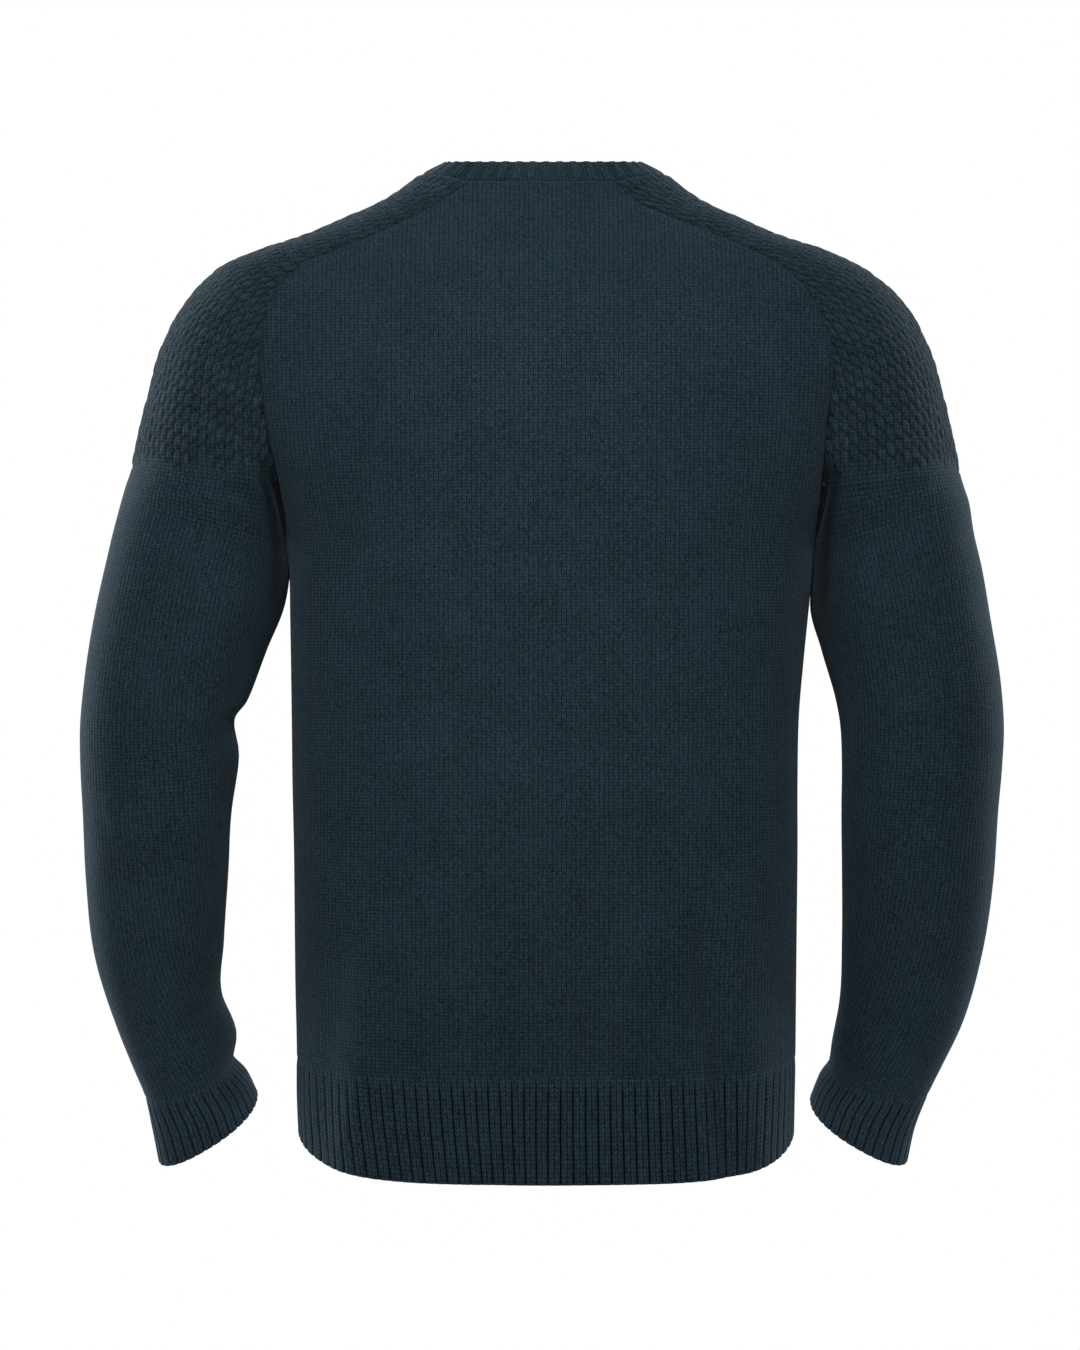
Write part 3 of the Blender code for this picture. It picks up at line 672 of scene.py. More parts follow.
def end_relief(tree, sockets, rise, base, dark):
    """Ends a tree. The knit rises where it shows, from 0 in a gap to 1 on top, less a base.

    The share is kept for the material, which paints shade down in the gaps, by the share dark, and takes with it the
    painted shade and highlight of the seams and folds.
    """
    outward = add_node(tree, ATTRIBUTE, {"Name": "outward"}, data_type="FLOAT_VECTOR")
    outside = add_node(tree, ATTRIBUTE, {"Name": "outside"})
    clear = add_node(tree, ATTRIBUTE, {"Name": "painted_shade_and_highlight"})
    above = add_node(tree, MATH, (rise, base), operation="SUBTRACT")
    height = add_node(tree, MATH, (above, sockets["Height"]), operation="MULTIPLY")
    shown = add_node(tree, MATH, (height, outside), operation="MULTIPLY")
    metres = add_node(tree, MATH, (shown, MM), operation="MULTIPLY")
    offset = add_node(
        tree, "ShaderNodeVectorMath", {0: outward, "Scale": metres}, operation="SCALE"
    )
    moved = add_node(
        tree, "GeometryNodeSetPosition", {"Geometry": sockets["Geometry"], "Offset": offset}
    )
    # Painted shade: the gaps are darkened by the share dark, and the seams' and folds' painted shade and highlight are
    # multiplied in.
    gap = add_node(tree, MATH, (1.0, rise), operation="SUBTRACT")
    gap_shown = add_node(tree, MATH, (gap, outside), operation="MULTIPLY")
    shade = add_node(tree, MATH, (gap_shown, dark), operation="MULTIPLY")
    top = add_node(tree, MATH, (1.0, shade), operation="SUBTRACT")
    lit = add_node(tree, MATH, (top, clear), operation="MULTIPLY")
    kept = add_node(
        # The attribute raised carries this painted shade to the material.
        tree,
        "GeometryNodeStoreNamedAttribute",
        {"Geometry": moved, "Name": "raised", "Value": lit},
        domain="POINT",
    )
    whole = add_node(tree, "GeometryNodeRealizeInstances", {"Geometry": kept})
    dressed = add_node(
        tree, "GeometryNodeSetMaterial", {"Geometry": whole, "Material": sockets["Yarn"]}
    )
    add_node(tree, "NodeGroupOutput", (dressed,))


def knit(mesh, tree, **sizes):
    """Makes a wall an object of the same name, with its relief worked into the mesh."""
    name = mesh.name
    piece = bpy.data.objects.new(name, mesh)
    scene.collection.objects.link(piece)
    modifier = piece.modifiers.new("relief", "NODES")
    modifier.node_group = tree
    for item in tree.interface.items_tree:
        if item.in_out == "INPUT" and item.name in sizes:
            modifier[item.identifier] = sizes[item.name]
    graph = bpy.context.evaluated_depsgraph_get()
    piece.data = bpy.data.meshes.new_from_object(piece.evaluated_get(graph))
    piece.modifiers.clear()
    piece.data.name = name
    for label in ("outward", "outside", "painted_shade_and_highlight"):
        piece.data.attributes.remove(piece.data.attributes[label])
    return piece


def lambswool(name, colour, gap_shade_colour, bump):
    """Soft matt wool in jersey stitches, each a V whose two legs stand up from gaps painted dark as shade.

    The fibres scatter light at the edges, and a few of the heather's fibres are paler. In
    the flat jersey the V's are as fine as the real ones, 1.5 mm for one leg.
    """
    material = bpy.data.materials.new(name)
    material.use_nodes = True
    tree = material.node_tree
    shader = tree.nodes["Principled BSDF"]
    across, along, raised = (
        add_node(tree, "ShaderNodeAttribute", attribute_name=label).outputs["Fac"]
        for label in ("across", "along", "raised")
    )
    place = add_node(tree, "ShaderNodeTexCoord").outputs["Object"]

    # A leg lies a little nearer the middle of its column, so the gap between columns shows, painted dark as shade.
    column = add_node(tree, MATH, (across, 1 / WALE), operation="MULTIPLY")
    aside = add_node(tree, MATH, (column, 0.5), operation="PINGPONG")
    off_leg = add_node(tree, MATH, (aside, 3.6, -0.79), operation="MULTIPLY_ADD")
    squared = add_node(tree, MATH, (off_leg, off_leg), operation="MULTIPLY")
    leg = add_node(tree, MATH, (1.0, squared), operation="SUBTRACT")
    row = add_node(tree, MATH, (along, 1 / COURSE), operation="MULTIPLY")
    slant = add_node(tree, MATH, (aside, 1.1, row), operation="MULTIPLY_ADD")
    row_turn = add_node(tree, MATH, (slant, 2 * math.pi), operation="MULTIPLY")
    wave = add_node(tree, MATH, (row_turn,), operation="COSINE")
    link = add_node(tree, MATH, (wave, 0.28, 0.72), operation="MULTIPLY_ADD")
    stitch = add_node(tree, MATH, (leg, link), operation="MULTIPLY")

    # No two legs catch the light alike.
    half_columns = add_node(tree, MATH, (column, 2.0), operation="MULTIPLY")
    leg_number = add_node(tree, MATH, (half_columns,), operation="FLOOR")
    row_number = add_node(tree, MATH, (slant,), operation="ROUND")
    cell = add_node(tree, "ShaderNodeCombineXYZ", (leg_number, row_number))
    chance = add_node(tree, "ShaderNodeTexWhiteNoise", {"Vector": cell}).outputs["Value"]
    own = add_node(tree, MATH, (chance, 0.5, 0.7), operation="MULTIPLY_ADD")

    fuzz = add_node(tree, "ShaderNodeTexNoise", {"Vector": place, "Scale": 620.0, "Detail": 3.0})
    height = add_node(tree, MATH, (fuzz.outputs["Fac"], 1.2, stitch), operation="MULTIPLY_ADD")
    bumps = add_node(
        tree, "ShaderNodeBump", {"Height": height, "Strength": bump, "Distance": 0.0004}
    )
    patch = add_node(tree, "ShaderNodeTexNoise", {"Vector": place, "Scale": 30.0, "Detail": 3.0})
    mottle = add_node(
        tree, MATH, (patch.outputs["Fac"], 0.25, fuzz.outputs["Fac"]),
        operation="MULTIPLY_ADD",
    )
    uneven = add_node(tree, MATH, (mottle, 1.2, -0.75), operation="MULTIPLY_ADD")
    knitted = add_node(tree, MATH, (stitch, own, uneven), operation="MULTIPLY_ADD")
    # Painted shade: the yarn takes the dark colour down in the gaps between legs and between rows.
    open_share = add_node(tree, MATH, (knitted, raised), operation="MULTIPLY", use_clamp=True)
    yarn = add_node(
        tree,
        "ShaderNodeMix",
        {"Factor": open_share, "A": (*linear(gap_shade_colour), 1.0), "B": (*linear(colour), 1.0)},
        data_type="RGBA",
    )
    specks = add_node(
        tree, "ShaderNodeTexNoise", {"Vector": place, "Scale": 1150.0, "Detail": 1.0}
    )
    pale = add_node(
        tree,
        "ShaderNodeMapRange",
        {"Value": specks.outputs["Fac"], "From Min": 0.66, "From Max": 0.78, "To Max": 0.3},
    )
    heather = add_node(
        tree,
        "ShaderNodeMix",
        {"Factor": pale, "A": yarn.outputs["Result"], "B": (*linear("#5A7180"), 1.0)},
        data_type="RGBA",
    )
    # Deep in a fold or a seam nothing of the yarn catches the light: there the painted shade scales the yarn's colour
    # down further, to black at the deepest.
    lit = add_node(tree, MATH, (raised, 2.2), operation="MULTIPLY", use_clamp=True)
    shaded = add_node(
        tree, "ShaderNodeVectorMath", {0: heather.outputs["Result"], "Scale": lit},
        operation="SCALE",
    )
    tree.links.new(shaded.outputs["Vector"], shader.inputs["Base Color"])
    tree.links.new(bumps.outputs["Normal"], shader.inputs["Normal"])
    shader.inputs["Roughness"].default_value = 0.92
    shader.inputs["Specular IOR Level"].default_value = 0.06
    shader.inputs["Sheen Weight"].default_value = 0.12
    shader.inputs["Sheen Roughness"].default_value = 0.5
    shader.inputs["Sheen Tint"].default_value = (*linear("#9DB4C4"), 1.0)
    return material


# The second colour of each yarn is the painted shade of its gaps.
JERSEY_KNIT = {
    "Wale": WALE,
    "Height": WALE_HEIGHT,
    "Yarn": lambswool("lambswool_jersey", "#2C3E48", "#0C151A", 0.5),
}

# Stitches stand in columns, each column a low rounded ridge.
jersey_relief, given = relief_tree("jersey_wales", "Wale", "Height")
across = add_node(jersey_relief, ATTRIBUTE, {"Name": "across"})
column = add_node(jersey_relief, MATH, (across, given["Wale"]), operation="DIVIDE")
turn = add_node(jersey_relief, MATH, (column, 2 * math.pi), operation="MULTIPLY")
ridge = add_node(jersey_relief, MATH, (turn,), operation="COSINE")
rise = add_node(jersey_relief, MATH, (ridge, 0.15, 0.85), operation="MULTIPLY_ADD")
end_relief(jersey_relief, given, rise, 0.7, 0.7)

SEAMS = {
    (side, name): seam_line(side, cap)
    for side in (1, -1)
    for name, cap in (("left", LEFT_CAP), ("right", RIGHT_CAP))
}

# The cloth dips into the linking of the armholes and the neck. Nearer to it than SEAM_REACH
# the knit's relief fades and both pieces move the same way.
SEAM_DIP, BODY_DIP_WIDTH, SLEEVE_DIP_WIDTH = 0.4, 1.3, 1.2
NECK_DIP, NECK_DIP_WIDTH = 1.0, 1.2
SEAM_REACH = 2.6
# The seam's allowance raises the body beside the armhole, and its edge shows as a ridge.
ALLOWANCE_WIDTH, ALLOWANCE_HEIGHT, ALLOWANCE_SLOPE = 9.0, 0.7, 2.2
RIDGE_HEIGHT, RIDGE_INSET, RIDGE_WIDTH = 0.35, 1.6, 1.3
# Near the underarm body and sleeve fold into the seam instead, from this place along it.
FOLD_STARTS, FOLD_GROWS, FOLD_ENDS = 165.0, 70.0, 25.0
FOLD_DEPTH, BODY_FOLD_WIDTH, SLEEVE_FOLD_WIDTH = 3.5, 3.5, 9.0
# Painted shade of the underarm: dark between the first two heights, and a fainter painted shade goes on to the third.
DARK_TOP, DARK_FOOT, SHADE_FOOT = -172.0, -300.0, -345.0
DARK_WIDTH, SHADE_WIDTH, SHADE = 9.0, 27.0, 0.45
# How deep the painted shade along a seam's groove is at each millimetre, uneven as the linking's loops are. The
# painted line round the neck is wider than the armholes'.
LINK_LINE, NECK_LINE = 0.9, 1.8
PAINTED_SEAM_SHADE = np.interp(
    np.arange(900), np.arange(0, 900, 3), np.random.default_rng(11).uniform(0.05, 0.75, 300)
)


def groove(distance, depth, width):
    """Beside a linked seam the cloth dips into it."""
    return -depth * np.exp(-((distance / width) ** 2))


def underarm_share(place):
    """How much of the underarm's fold there is along an armhole's seam."""
    end = smoothstep((UNDERARM_AT - place) / FOLD_ENDS)
    return smoothstep((place - FOLD_STARTS) / FOLD_GROWS) * end


def underarm_painted_shade(points, arm):
    """How clear a sleeve's yarn is of the painted shade where it closes up with the body."""
    z = np.concatenate((SEAM["z"][8:], arm.sleeve["inner_z"][:4]))
    x = np.concatenate((arm.cap["seam_x"][8:], arm.sleeve["inner_x"][:4]))
    height = points[:, 2]
    far = np.abs(points[:, 0] - np.interp(-height, -z, x))
    top = smoothstep((DARK_TOP - height) / 35.0)
    dark = top * smoothstep((height - DARK_FOOT) / 40.0) * np.exp(-((far / DARK_WIDTH) ** 4))
    below = top * smoothstep((height - SHADE_FOOT) / 60.0)
    return (1.0 - dark) * (1.0 - SHADE * below * np.exp(-((far / SHADE_WIDTH) ** 2)))


def seam_shade(distance, place):
    """How clear the yarn is of the painted shade along a seam's groove."""
    return 1.0 - PAINTED_SEAM_SHADE[place % len(PAINTED_SEAM_SHADE)] * np.exp(-((distance / LINK_LINE) ** 2))


def body_relief(cloth, seams, *necks):
    """Works the seams into the back or the front, and gives where its stitches show.

    The body first dips into the armhole's seam and then stands up over its allowance.
    """
    far, way, place = nearest(cloth.points, *seams)
    neck_far, neck_way, neck_place = nearest(cloth.points, *necks)
    fold = underarm_share(place)
    allowance = smoothstep((ALLOWANCE_WIDTH - far) / ALLOWANCE_SLOPE) * (1.0 - fold)
    off_ridge = (far - ALLOWANCE_WIDTH + RIDGE_INSET) / RIDGE_WIDTH
    ridge = np.exp(-(off_ridge**2)) * (1.0 - fold)
    dip = groove(far, SEAM_DIP, BODY_DIP_WIDTH) + groove(far, FOLD_DEPTH * fold, BODY_FOLD_WIDTH)
    cloth.raise_by(ALLOWANCE_HEIGHT * allowance + RIDGE_HEIGHT * ridge + dip, (far, way))
    cloth.raise_by(groove(neck_far, NECK_DIP, NECK_DIP_WIDTH), (neck_far, neck_way))
    # Painted shade along the seams' grooves and in the underarm's fold, and a painted highlight along the allowance's
    # ridge.
    clear = seam_shade(far, place) * seam_shade(neck_far / NECK_LINE, neck_place)
    clear = clear * (1.0 + groove(far, 0.7 * fold, BODY_FOLD_WIDTH)) + 0.3 * ridge
    return smoothstep(far / SEAM_REACH) * smoothstep(neck_far / SEAM_REACH), clear


def cut_of(lines, parted=0.0):
    """How a piece with these sections is cut: its width, length and area, flat, in metres.

    The length is that of its middle line, and parted is how wide a gap in each section is.
    """
    widths = running_length(lines)[:, -1]
    lengths = running_length(lines[None, :, lines.shape[1] // 2])[0]
    cloth = widths - parted
    area = (((cloth[1:] + cloth[:-1]) / 2) * np.diff(lengths)).sum()
    flat = (float(widths.max() * MM), float(lengths[-1] * MM))
    return {"flat": flat, "area": float(area * MM * MM)}


def rows_between(start, end, step):
    """Places from start to end, as near to a step apart as they fit."""
    return np.linspace(start, end, int(round((end - start) / step)) + 1)


yoke_at = rows_between(0.0, UNDERARM_AT, YOKE_STEP)[:-1]
torso_at = rows_between(UNDERARM_AT, at_height(RIB_TOP_Z), BODY_STEP)
back_at = np.concatenate((yoke_at, torso_at))
lines = body_lines(1, back_at)
whole = running_length(lines)[:, -1]
points, across = lay(lines, whole * 0.0, whole, place_of(lines, 0.0), WALE / 2)
back = Cloth((points, across, np.broadcast_to(back_at[:, None], across.shape)))
shown, clear = body_relief(back, (SEAMS[1, "left"], SEAMS[1, "right"]), neck_line(lines[0]))
back_mesh = back.wall("back_jersey", JERSEY_WALL, fade=shown, clear=clear)
back_piece = knit(back_mesh, jersey_relief, **JERSEY_KNIT)
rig.ride(back_piece, "root")
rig.replaces(back_piece, "back_panel")
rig.slot(back_piece, "jersey")
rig.sheet(back_piece, held="hung", **cut_of(lines))


# ---- Front --------------------------------------------------------------------------------
# The front is knitted like the back, and parted into two halves for the V of the neck. It
# can't be seen in the photograph, so it is finished plainly to match the back.

V_DEPTH_ROW = 9  # the seam row where the V's seam comes to its point
NECK_FRONT_X = 70.0  # half width of the V at the saddle seams


def v_edge(z):
    """Half the width of the V's opening at a height."""
    tip_z, top_z = SEAM["z"][V_DEPTH_ROW], SEAM["z"][0]
    return NECK_FRONT_X * np.clip((z - tip_z) / (top_z - tip_z), 0.0, 1.0)


TIP_AT = SEAM_AT[V_DEPTH_ROW]
v_at = rows_between(0.0, TIP_AT, YOKE_STEP)[:-1]
chest_at = rows_between(TIP_AT, UNDERARM_AT, YOKE_STEP)[:-1]
front_at = np.concatenate((v_at, chest_at, torso_at))
lines = body_lines(-1, front_at)
whole = running_length(lines)[:, -1]
middle = place_of(lines, 0.0)
half = v_edge(lines[:, 0, 2])
half[front_at >= TIP_AT] = 0.0
along = front_at[:, None]
left_half = lay(lines, whole * 0.0, place_of(lines, half), middle, WALE / 2)
right_half = lay(lines, place_of(lines, -half), whole, middle, WALE / 2)
front = Cloth(
    *(
        (grid[:, ::-1], far[:, ::-1], np.broadcast_to(along, far.shape))
        for grid, far in (right_half, left_half)
    )
)
on_v = front_at <= TIP_AT
V_LEFT, V_RIGHT = (
    np.array(
        [
            (sign * x, np.interp(-sign * x, -line[:, 0], line[:, 1]), line[0, 2])
            for x, line in zip(half[on_v], lines[on_v])
        ]
    )
    for sign in (1, -1)
)
front_seams = (SEAMS[-1, "left"], SEAMS[-1, "right"])
shown, clear = body_relief(front, front_seams, neck_line(V_LEFT), neck_line(V_RIGHT))
front_mesh = front.wall("front_jersey", JERSEY_WALL, fade=shown, clear=clear)
front_piece = knit(front_mesh, jersey_relief, **JERSEY_KNIT)
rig.ride(front_piece, "root")
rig.replaces(front_piece, "front_panel")
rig.slot(front_piece, "jersey")
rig.sheet(front_piece, held="hung", **cut_of(lines, 2 * half))


# ---- Saddle shoulders ---------------------------------------------------------------------
# Each saddle runs from the neck over the shoulder and is the top of the sleeve. It is
# knitted in staggered bumps, and linked to the front and back along both its edges.

SLEEVE_SIDE = 0.43  # the square of every sleeve row below the underarm
ROUND_SECTION = 2.3  # exponent of a sleeve's section
CAP_ROWS = 12  # the rows of the seam's table that are knitted in bumps
BUMP_WIDE, BUMP_LONG, BUMP_HEIGHT = 6.0, 9.6, 1.8
RAGGED_LEAST, RAGGED_MOST = 1.0, 8.0  # how far before its end a column has its last bump
SLEEVE_COLUMNS = "inner_x inner_z outer_x outer_z mid_y half_depth"
LEFT_SLEEVE = table(
    SLEEVE_COLUMNS,
    (
        (170, -258, 286, -231, 0, 58), (172.6, -276, 290, -248, 0, 58),
        (185, -308, 298, -284, 0, 56), (198, -342, 305, -328, 0, 54),
        (207, -357, 308, -360, -1, 52), (204, -380, 308, -386, -4, 51),
        (209, -415, 307, -414, -9, 49), (212, -456, 306, -459, -20, 46),
        (216, -504, 302, -509, -35, 42), (218, -544, 288.5, -558, -49, 37),
        (209, -570, 278, -587, -58, 34), (211.5, -586, 271, -605, -64, 32),
        (202, -599, 266, -630, -71.5, 31), (196, -613, 262.5, -652, -79.5, 31),
    ),
)
RIGHT_SLEEVE = table(
    SLEEVE_COLUMNS,
    (
        (-177.7, -261, -284, -232, 0, 58), (-176.6, -279, -288.5, -251, 0, 58),
        (-184, -308, -295, -288, 0, 56), (-194, -343, -302, -332, 0, 54),
        (-197, -362, -304, -360, -1, 52), (-198, -386, -303, -386, -4, 51),
        (-198, -415, -301, -414, -9, 49), (-199, -456, -299, -459, -20, 46),
        (-200, -502, -293, -509, -35, 42), (-199, -548, -280.5, -558, -49, 37),
        (-194.5, -576, -268, -586, -58, 34), (-193, -589, -260.5, -602, -63, 32),
        (-186.5, -601, -251, -628, -71.5, 31), (-181, -616, -246.5, -652, -79.5, 31),
    ),
)

# The sleeves' creases, each straight from one x and z to another, with half width and
# height. The photograph shows those on side 1, and those on side -1 are like them.
CREASE_COLUMNS = "side start_x start_z end_x end_z width height"
LEFT_CREASES = table(
    CREASE_COLUMNS,
    (
        (1, 224, -152, 182, -186, 7, -4), (1, 212, -134, 186, -170, 6, 2.5),
        (1, 218, -200, 177, -219, 6, -3.5), (1, 209, -337, 264, -350, 5, -2.4),
        (1, 216, -350, 250, -364, 6, 1.6), (1, 203, -359, 228, -375, 5, -3.2),
        (1, 288, -408, 280, -434, 4, 1.8), (1, 260, -490, 219, -528, 9, -3.2),
        (1, 208, -539, 244, -544, 6, -2.6), (-1, 222, -150, 184, -190, 7, -4),
        (-1, 220, -206, 180, -224, 6, -3), (-1, 208, -352, 256, -364, 6, -2.6),
        (-1, 256, -478, 220, -520, 9, -3),
    ),
)
RIGHT_CREASES = table(
    CREASE_COLUMNS,
    (
        (1, -226, -140, -190, -180, 8, -3.2), (1, -212, -128, -188, -162, 6, 2),
        (1, -184, -318, -203, -350, 4, 2), (1, -186, -334, -197, -356, 4, -2.5),
        (1, -198, -472, -220, -512, 9, -2.8), (1, -190, -548, -216, -570, 7, -2.8),
        (1, -214, -402, -262, -392, 8, -1.2), (-1, -224, -146, -188, -184, 7, -4),
        (-1, -218, -210, -186, -226, 6, -2.6), (-1, -204, -358, -250, -352, 6, -2.6),
        (-1, -214, -470, -240, -515, 9, -3),
    ),
)


def crease_height(creases, side, points):
    """How far the creases of one side of a sleeve raise each point."""
    height = np.zeros(points.shape[:-1])
    place = points[..., (0, 2)]
    for i in np.flatnonzero(creases["side"] == side):
        crease = {name: values[i] for name, values in creases.items()}
        start = np.array([crease["start_x"], crease["start_z"]])
        run = np.array([crease["end_x"], crease["end_z"]]) - start
        along = np.clip(((place - start) @ run) / (run @ run), 0.0, 1.0)
        far = np.linalg.norm(place - start - along[..., None] * run, axis=-1)
        ends = 0.4 + 0.6 * np.sin(math.pi * along)
        height += crease["height"] * ends * np.exp(-((far / crease["width"]) ** 2))
    return height


class Arm:
    """One sleeve with its saddle: sections from the neck to the cuff's end."""

    def __init__(self, cap, sleeve, creases):
        self.left = cap is LEFT_CAP
        self.cap, self.sleeve, self.creases = cap, sleeve, creases
        seam_rows, rows = len(SEAM["z"]), len(sleeve["mid_y"])

        def run(*pairs):
            """Columns of values down the seam, and then down the sleeve below it."""
            return np.stack(
                [
                    np.append(np.broadcast_to(on_seam, seam_rows), np.broadcast_to(below, rows))
                    for on_seam, below in pairs
                ],
                axis=1,
            )

        def seam_run(seam_x, seam_y):
            return run(
                (seam_x, sleeve["inner_x"]), (seam_y, sleeve["mid_y"]),
                (SEAM["z"], sleeve["inner_z"]),
            )

        ridge = run(
            (cap["edge_x"], sleeve["outer_x"]), (SEAM["ridge_y"], sleeve["mid_y"]),
            (cap["edge_z"], sleeve["outer_z"]),
        )
        self.edge = running_length(ridge)
        below = self.edge[seam_rows:] - self.edge[seam_rows - 1]
        self.at = np.concatenate((SEAM_AT, UNDERARM_AT + below))
        lean = np.gradient(sleeve["mid_y"], (sleeve["inner_z"] + sleeve["outer_z"]) / 2)
        self.columns = {
            "ridge": ridge,
            "back": seam_run(cap["seam_x"], SEAM["back_y"]),
            "front": seam_run(front_seam(cap), SEAM["front_y"]),
            "swell": run((SEAM["swell"], sleeve["half_depth"])),
            "square": run((SEAM["square"], SLEEVE_SIDE)),
            "lean": run((0.0, lean)),
        }

    def lines(self, at):
        """Fine sections from the back seam over the outer edge to the front seam."""
        now = {
            name: np.stack([through(values[:, k], self.at, at) for k in range(values.shape[1])],
                           axis=1)[:, None, :]
            for name, values in self.columns.items()
        }
        share = (1.0 - np.cos(np.linspace(0.0, math.pi, SAMPLES + 1))) / 2
        fall = (1.0 - share**ROUND_SECTION) ** (1.0 / ROUND_SECTION)
        halves = []
        for start, sign in ((now["back"], 1.0), (now["front"], -1.0)):
            points = start + (now["ridge"] - start) * share[None, :, None]
            bent = np.maximum(1.0 - np.abs(2.0 * share - 1.0) ** ROUND_SECTION, 0.0)[None]
            ridge_y, start_y = now["ridge"][..., 1], start[..., 1]
            points[..., 1] = ridge_y + (start_y - ridge_y) * fall
            points[..., 1] += sign * now["swell"][..., 0] * bent ** now["square"][..., 0]
            points[..., 2] -= now["lean"][..., 0] * (points[..., 1] - ridge_y)
            creases = crease_height(self.creases, sign, points)
            points[..., 1] += sign * creases * smoothstep(2.0 * bent)
            halves.append(points)
        return np.concatenate([halves[0], halves[1][:, -2::-1]], axis=1)

    def grid(self, at, step):
        """The stitches laid on the sections, counted from the outer edge."""
        lines = self.lines(at)
        lengths = running_length(lines)
        middle, whole = lengths[:, SAMPLES], lengths[:, -1]
        points, across = lay(lines, whole * 0.0, whole, middle, step)
        along = np.broadcast_to(np.interp(at, self.at, self.edge)[:, None], across.shape)
        if self.left:
            return points[:, ::-1], across[:, ::-1], along
        return points, across, along


ARMS = {
    "left": Arm(LEFT_CAP, LEFT_SLEEVE, LEFT_CREASES),
    "right": Arm(RIGHT_CAP, RIGHT_SLEEVE, RIGHT_CREASES),
}
# Its second colour is the painted shade of its gaps.
SADDLE_YARN = lambswool("lambswool_bumpy_knit", "#33464F", "#0C151A", 0.6)

bumps, given = relief_tree("staggered_bumps", "Wide", "Long", "Height")
across = add_node(bumps, ATTRIBUTE, {"Name": "across"})
along = add_node(bumps, ATTRIBUTE, {"Name": "along"})
column = add_node(bumps, MATH, (across, given["Wide"]), operation="DIVIDE")
centred = add_node(bumps, MATH, (column, 0.5), operation="ADD")
number = add_node(bumps, MATH, (centred,), operation="FLOOR")
sideways = add_node(bumps, MATH, (column, number), operation="SUBTRACT")
column_chance = add_node(bumps, "ShaderNodeTexWhiteNoise", {"Vector": number})
jitter = add_node(bumps, MATH, (column_chance.outputs["Value"], 0.25), operation="MULTIPLY")
stagger = add_node(bumps, MATH, (number, 0.25, jitter), operation="MULTIPLY_ADD")
row = add_node(bumps, MATH, (along, given["Long"]), operation="DIVIDE")
shifted = add_node(bumps, MATH, (row, stagger), operation="ADD")
slanted = add_node(bumps, MATH, (sideways, -0.45, shifted), operation="MULTIPLY_ADD")
raised = add_node(bumps, MATH, (slanted, 0.5), operation="ADD")
bump_number = add_node(bumps, MATH, (raised,), operation="FLOOR")
lengthways = add_node(bumps, MATH, (slanted, bump_number), operation="SUBTRACT")
domes = []
for part in (sideways, lengthways):
    doubled = add_node(bumps, MATH, (part, 2.0), operation="MULTIPLY")
    size = add_node(bumps, MATH, (doubled,), operation="ABSOLUTE")
    fall = add_node(bumps, MATH, (size, 4.0), operation="POWER")
    domes.append(add_node(bumps, MATH, (1.0, fall), operation="SUBTRACT"))
dome = add_node(bumps, MATH, (domes[0], domes[1]), operation="MULTIPLY")
cell = add_node(bumps, "ShaderNodeCombineXYZ", (number, bump_number, 7.0))
chance = add_node(bumps, "ShaderNodeTexWhiteNoise", {"Vector": cell})
uneven = add_node(bumps, MATH, (chance.outputs["Value"], 0.35, 0.75), operation="MULTIPLY_ADD")
varied = add_node(bumps, MATH, (dome, uneven), operation="MULTIPLY")
end_relief(bumps, given, varied, 0.5, 0.85)


def sleeve_relief(cloth, name):
    """Works the seam into a saddle or a sleeve, and gives its painted shade along the seam and in the underarm."""
    far, way, place = nearest(cloth.points, SEAMS[1, name], SEAMS[-1, name])
    fold = groove(far, FOLD_DEPTH * underarm_share(place), SLEEVE_FOLD_WIDTH)
    cloth.raise_by(groove(far, SEAM_DIP, SLEEVE_DIP_WIDTH) + fold, (far, way))
    return seam_shade(far, place) * underarm_painted_shade(cloth.points, ARMS[name])


for name, arm in ARMS.items():
    edge_end = arm.edge[CAP_ROWS - 1]
    at = np.interp(rows_between(0.0, edge_end, BUMP_LONG / 6), arm.edge, arm.at)
    saddle = Cloth(arm.grid(at, BUMP_WIDE / 5))
    sleeve_painted_shade = sleeve_relief(saddle, name)
    neck_far, neck_way, neck_place = nearest(saddle.points, neck_line(arm.lines(at[:1])[0]))
    saddle.raise_by(groove(neck_far, NECK_DIP, NECK_DIP_WIDTH), (neck_far, neck_way))
    far = nearest(saddle.points, SEAMS[1, name], SEAMS[-1, name])[0]
    shown = smoothstep(far / 1.5) * smoothstep(neck_far / SEAM_REACH)
    # Towards the jersey each column of bumps ends at a place of its own.
    random = np.random.default_rng(5).uniform(RAGGED_LEAST, RAGGED_MOST, 200)
    ends = random[np.floor(saddle.across / BUMP_WIDE + 0.5).astype(int) + 100]
    shown = shown * smoothstep((edge_end - saddle.along - ends) / 3.0)
    # Painted shade along the armhole's and the neck's seams and in the underarm; the yarn is also a fifth darker where
    # the bumps don't show.
    clear = sleeve_painted_shade * seam_shade(neck_far, neck_place) * (0.8 + 0.2 * shown)
    mesh = saddle.wall(f"saddle_{name}_knit", JERSEY_WALL, 6, 6, fade=shown, clear=clear)
    piece = knit(mesh, bumps, Wide=BUMP_WIDE, Long=BUMP_LONG, Height=BUMP_HEIGHT,
                 Yarn=SADDLE_YARN)
    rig.ride(piece, "root")
    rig.replaces(piece, f"saddle_{name}")
    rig.slot(piece, "textured")
    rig.sheet(piece, held="hung", **cut_of(arm.lines(at)))


# ---- Sleeves ------------------------------------------------------------------------------
# Below the saddle each sleeve goes on in plain jersey, shaped along the underarm and
# closed there, down to the cuff.

CUFF_ROW = -3  # the row of the sleeve's table where the cuff starts

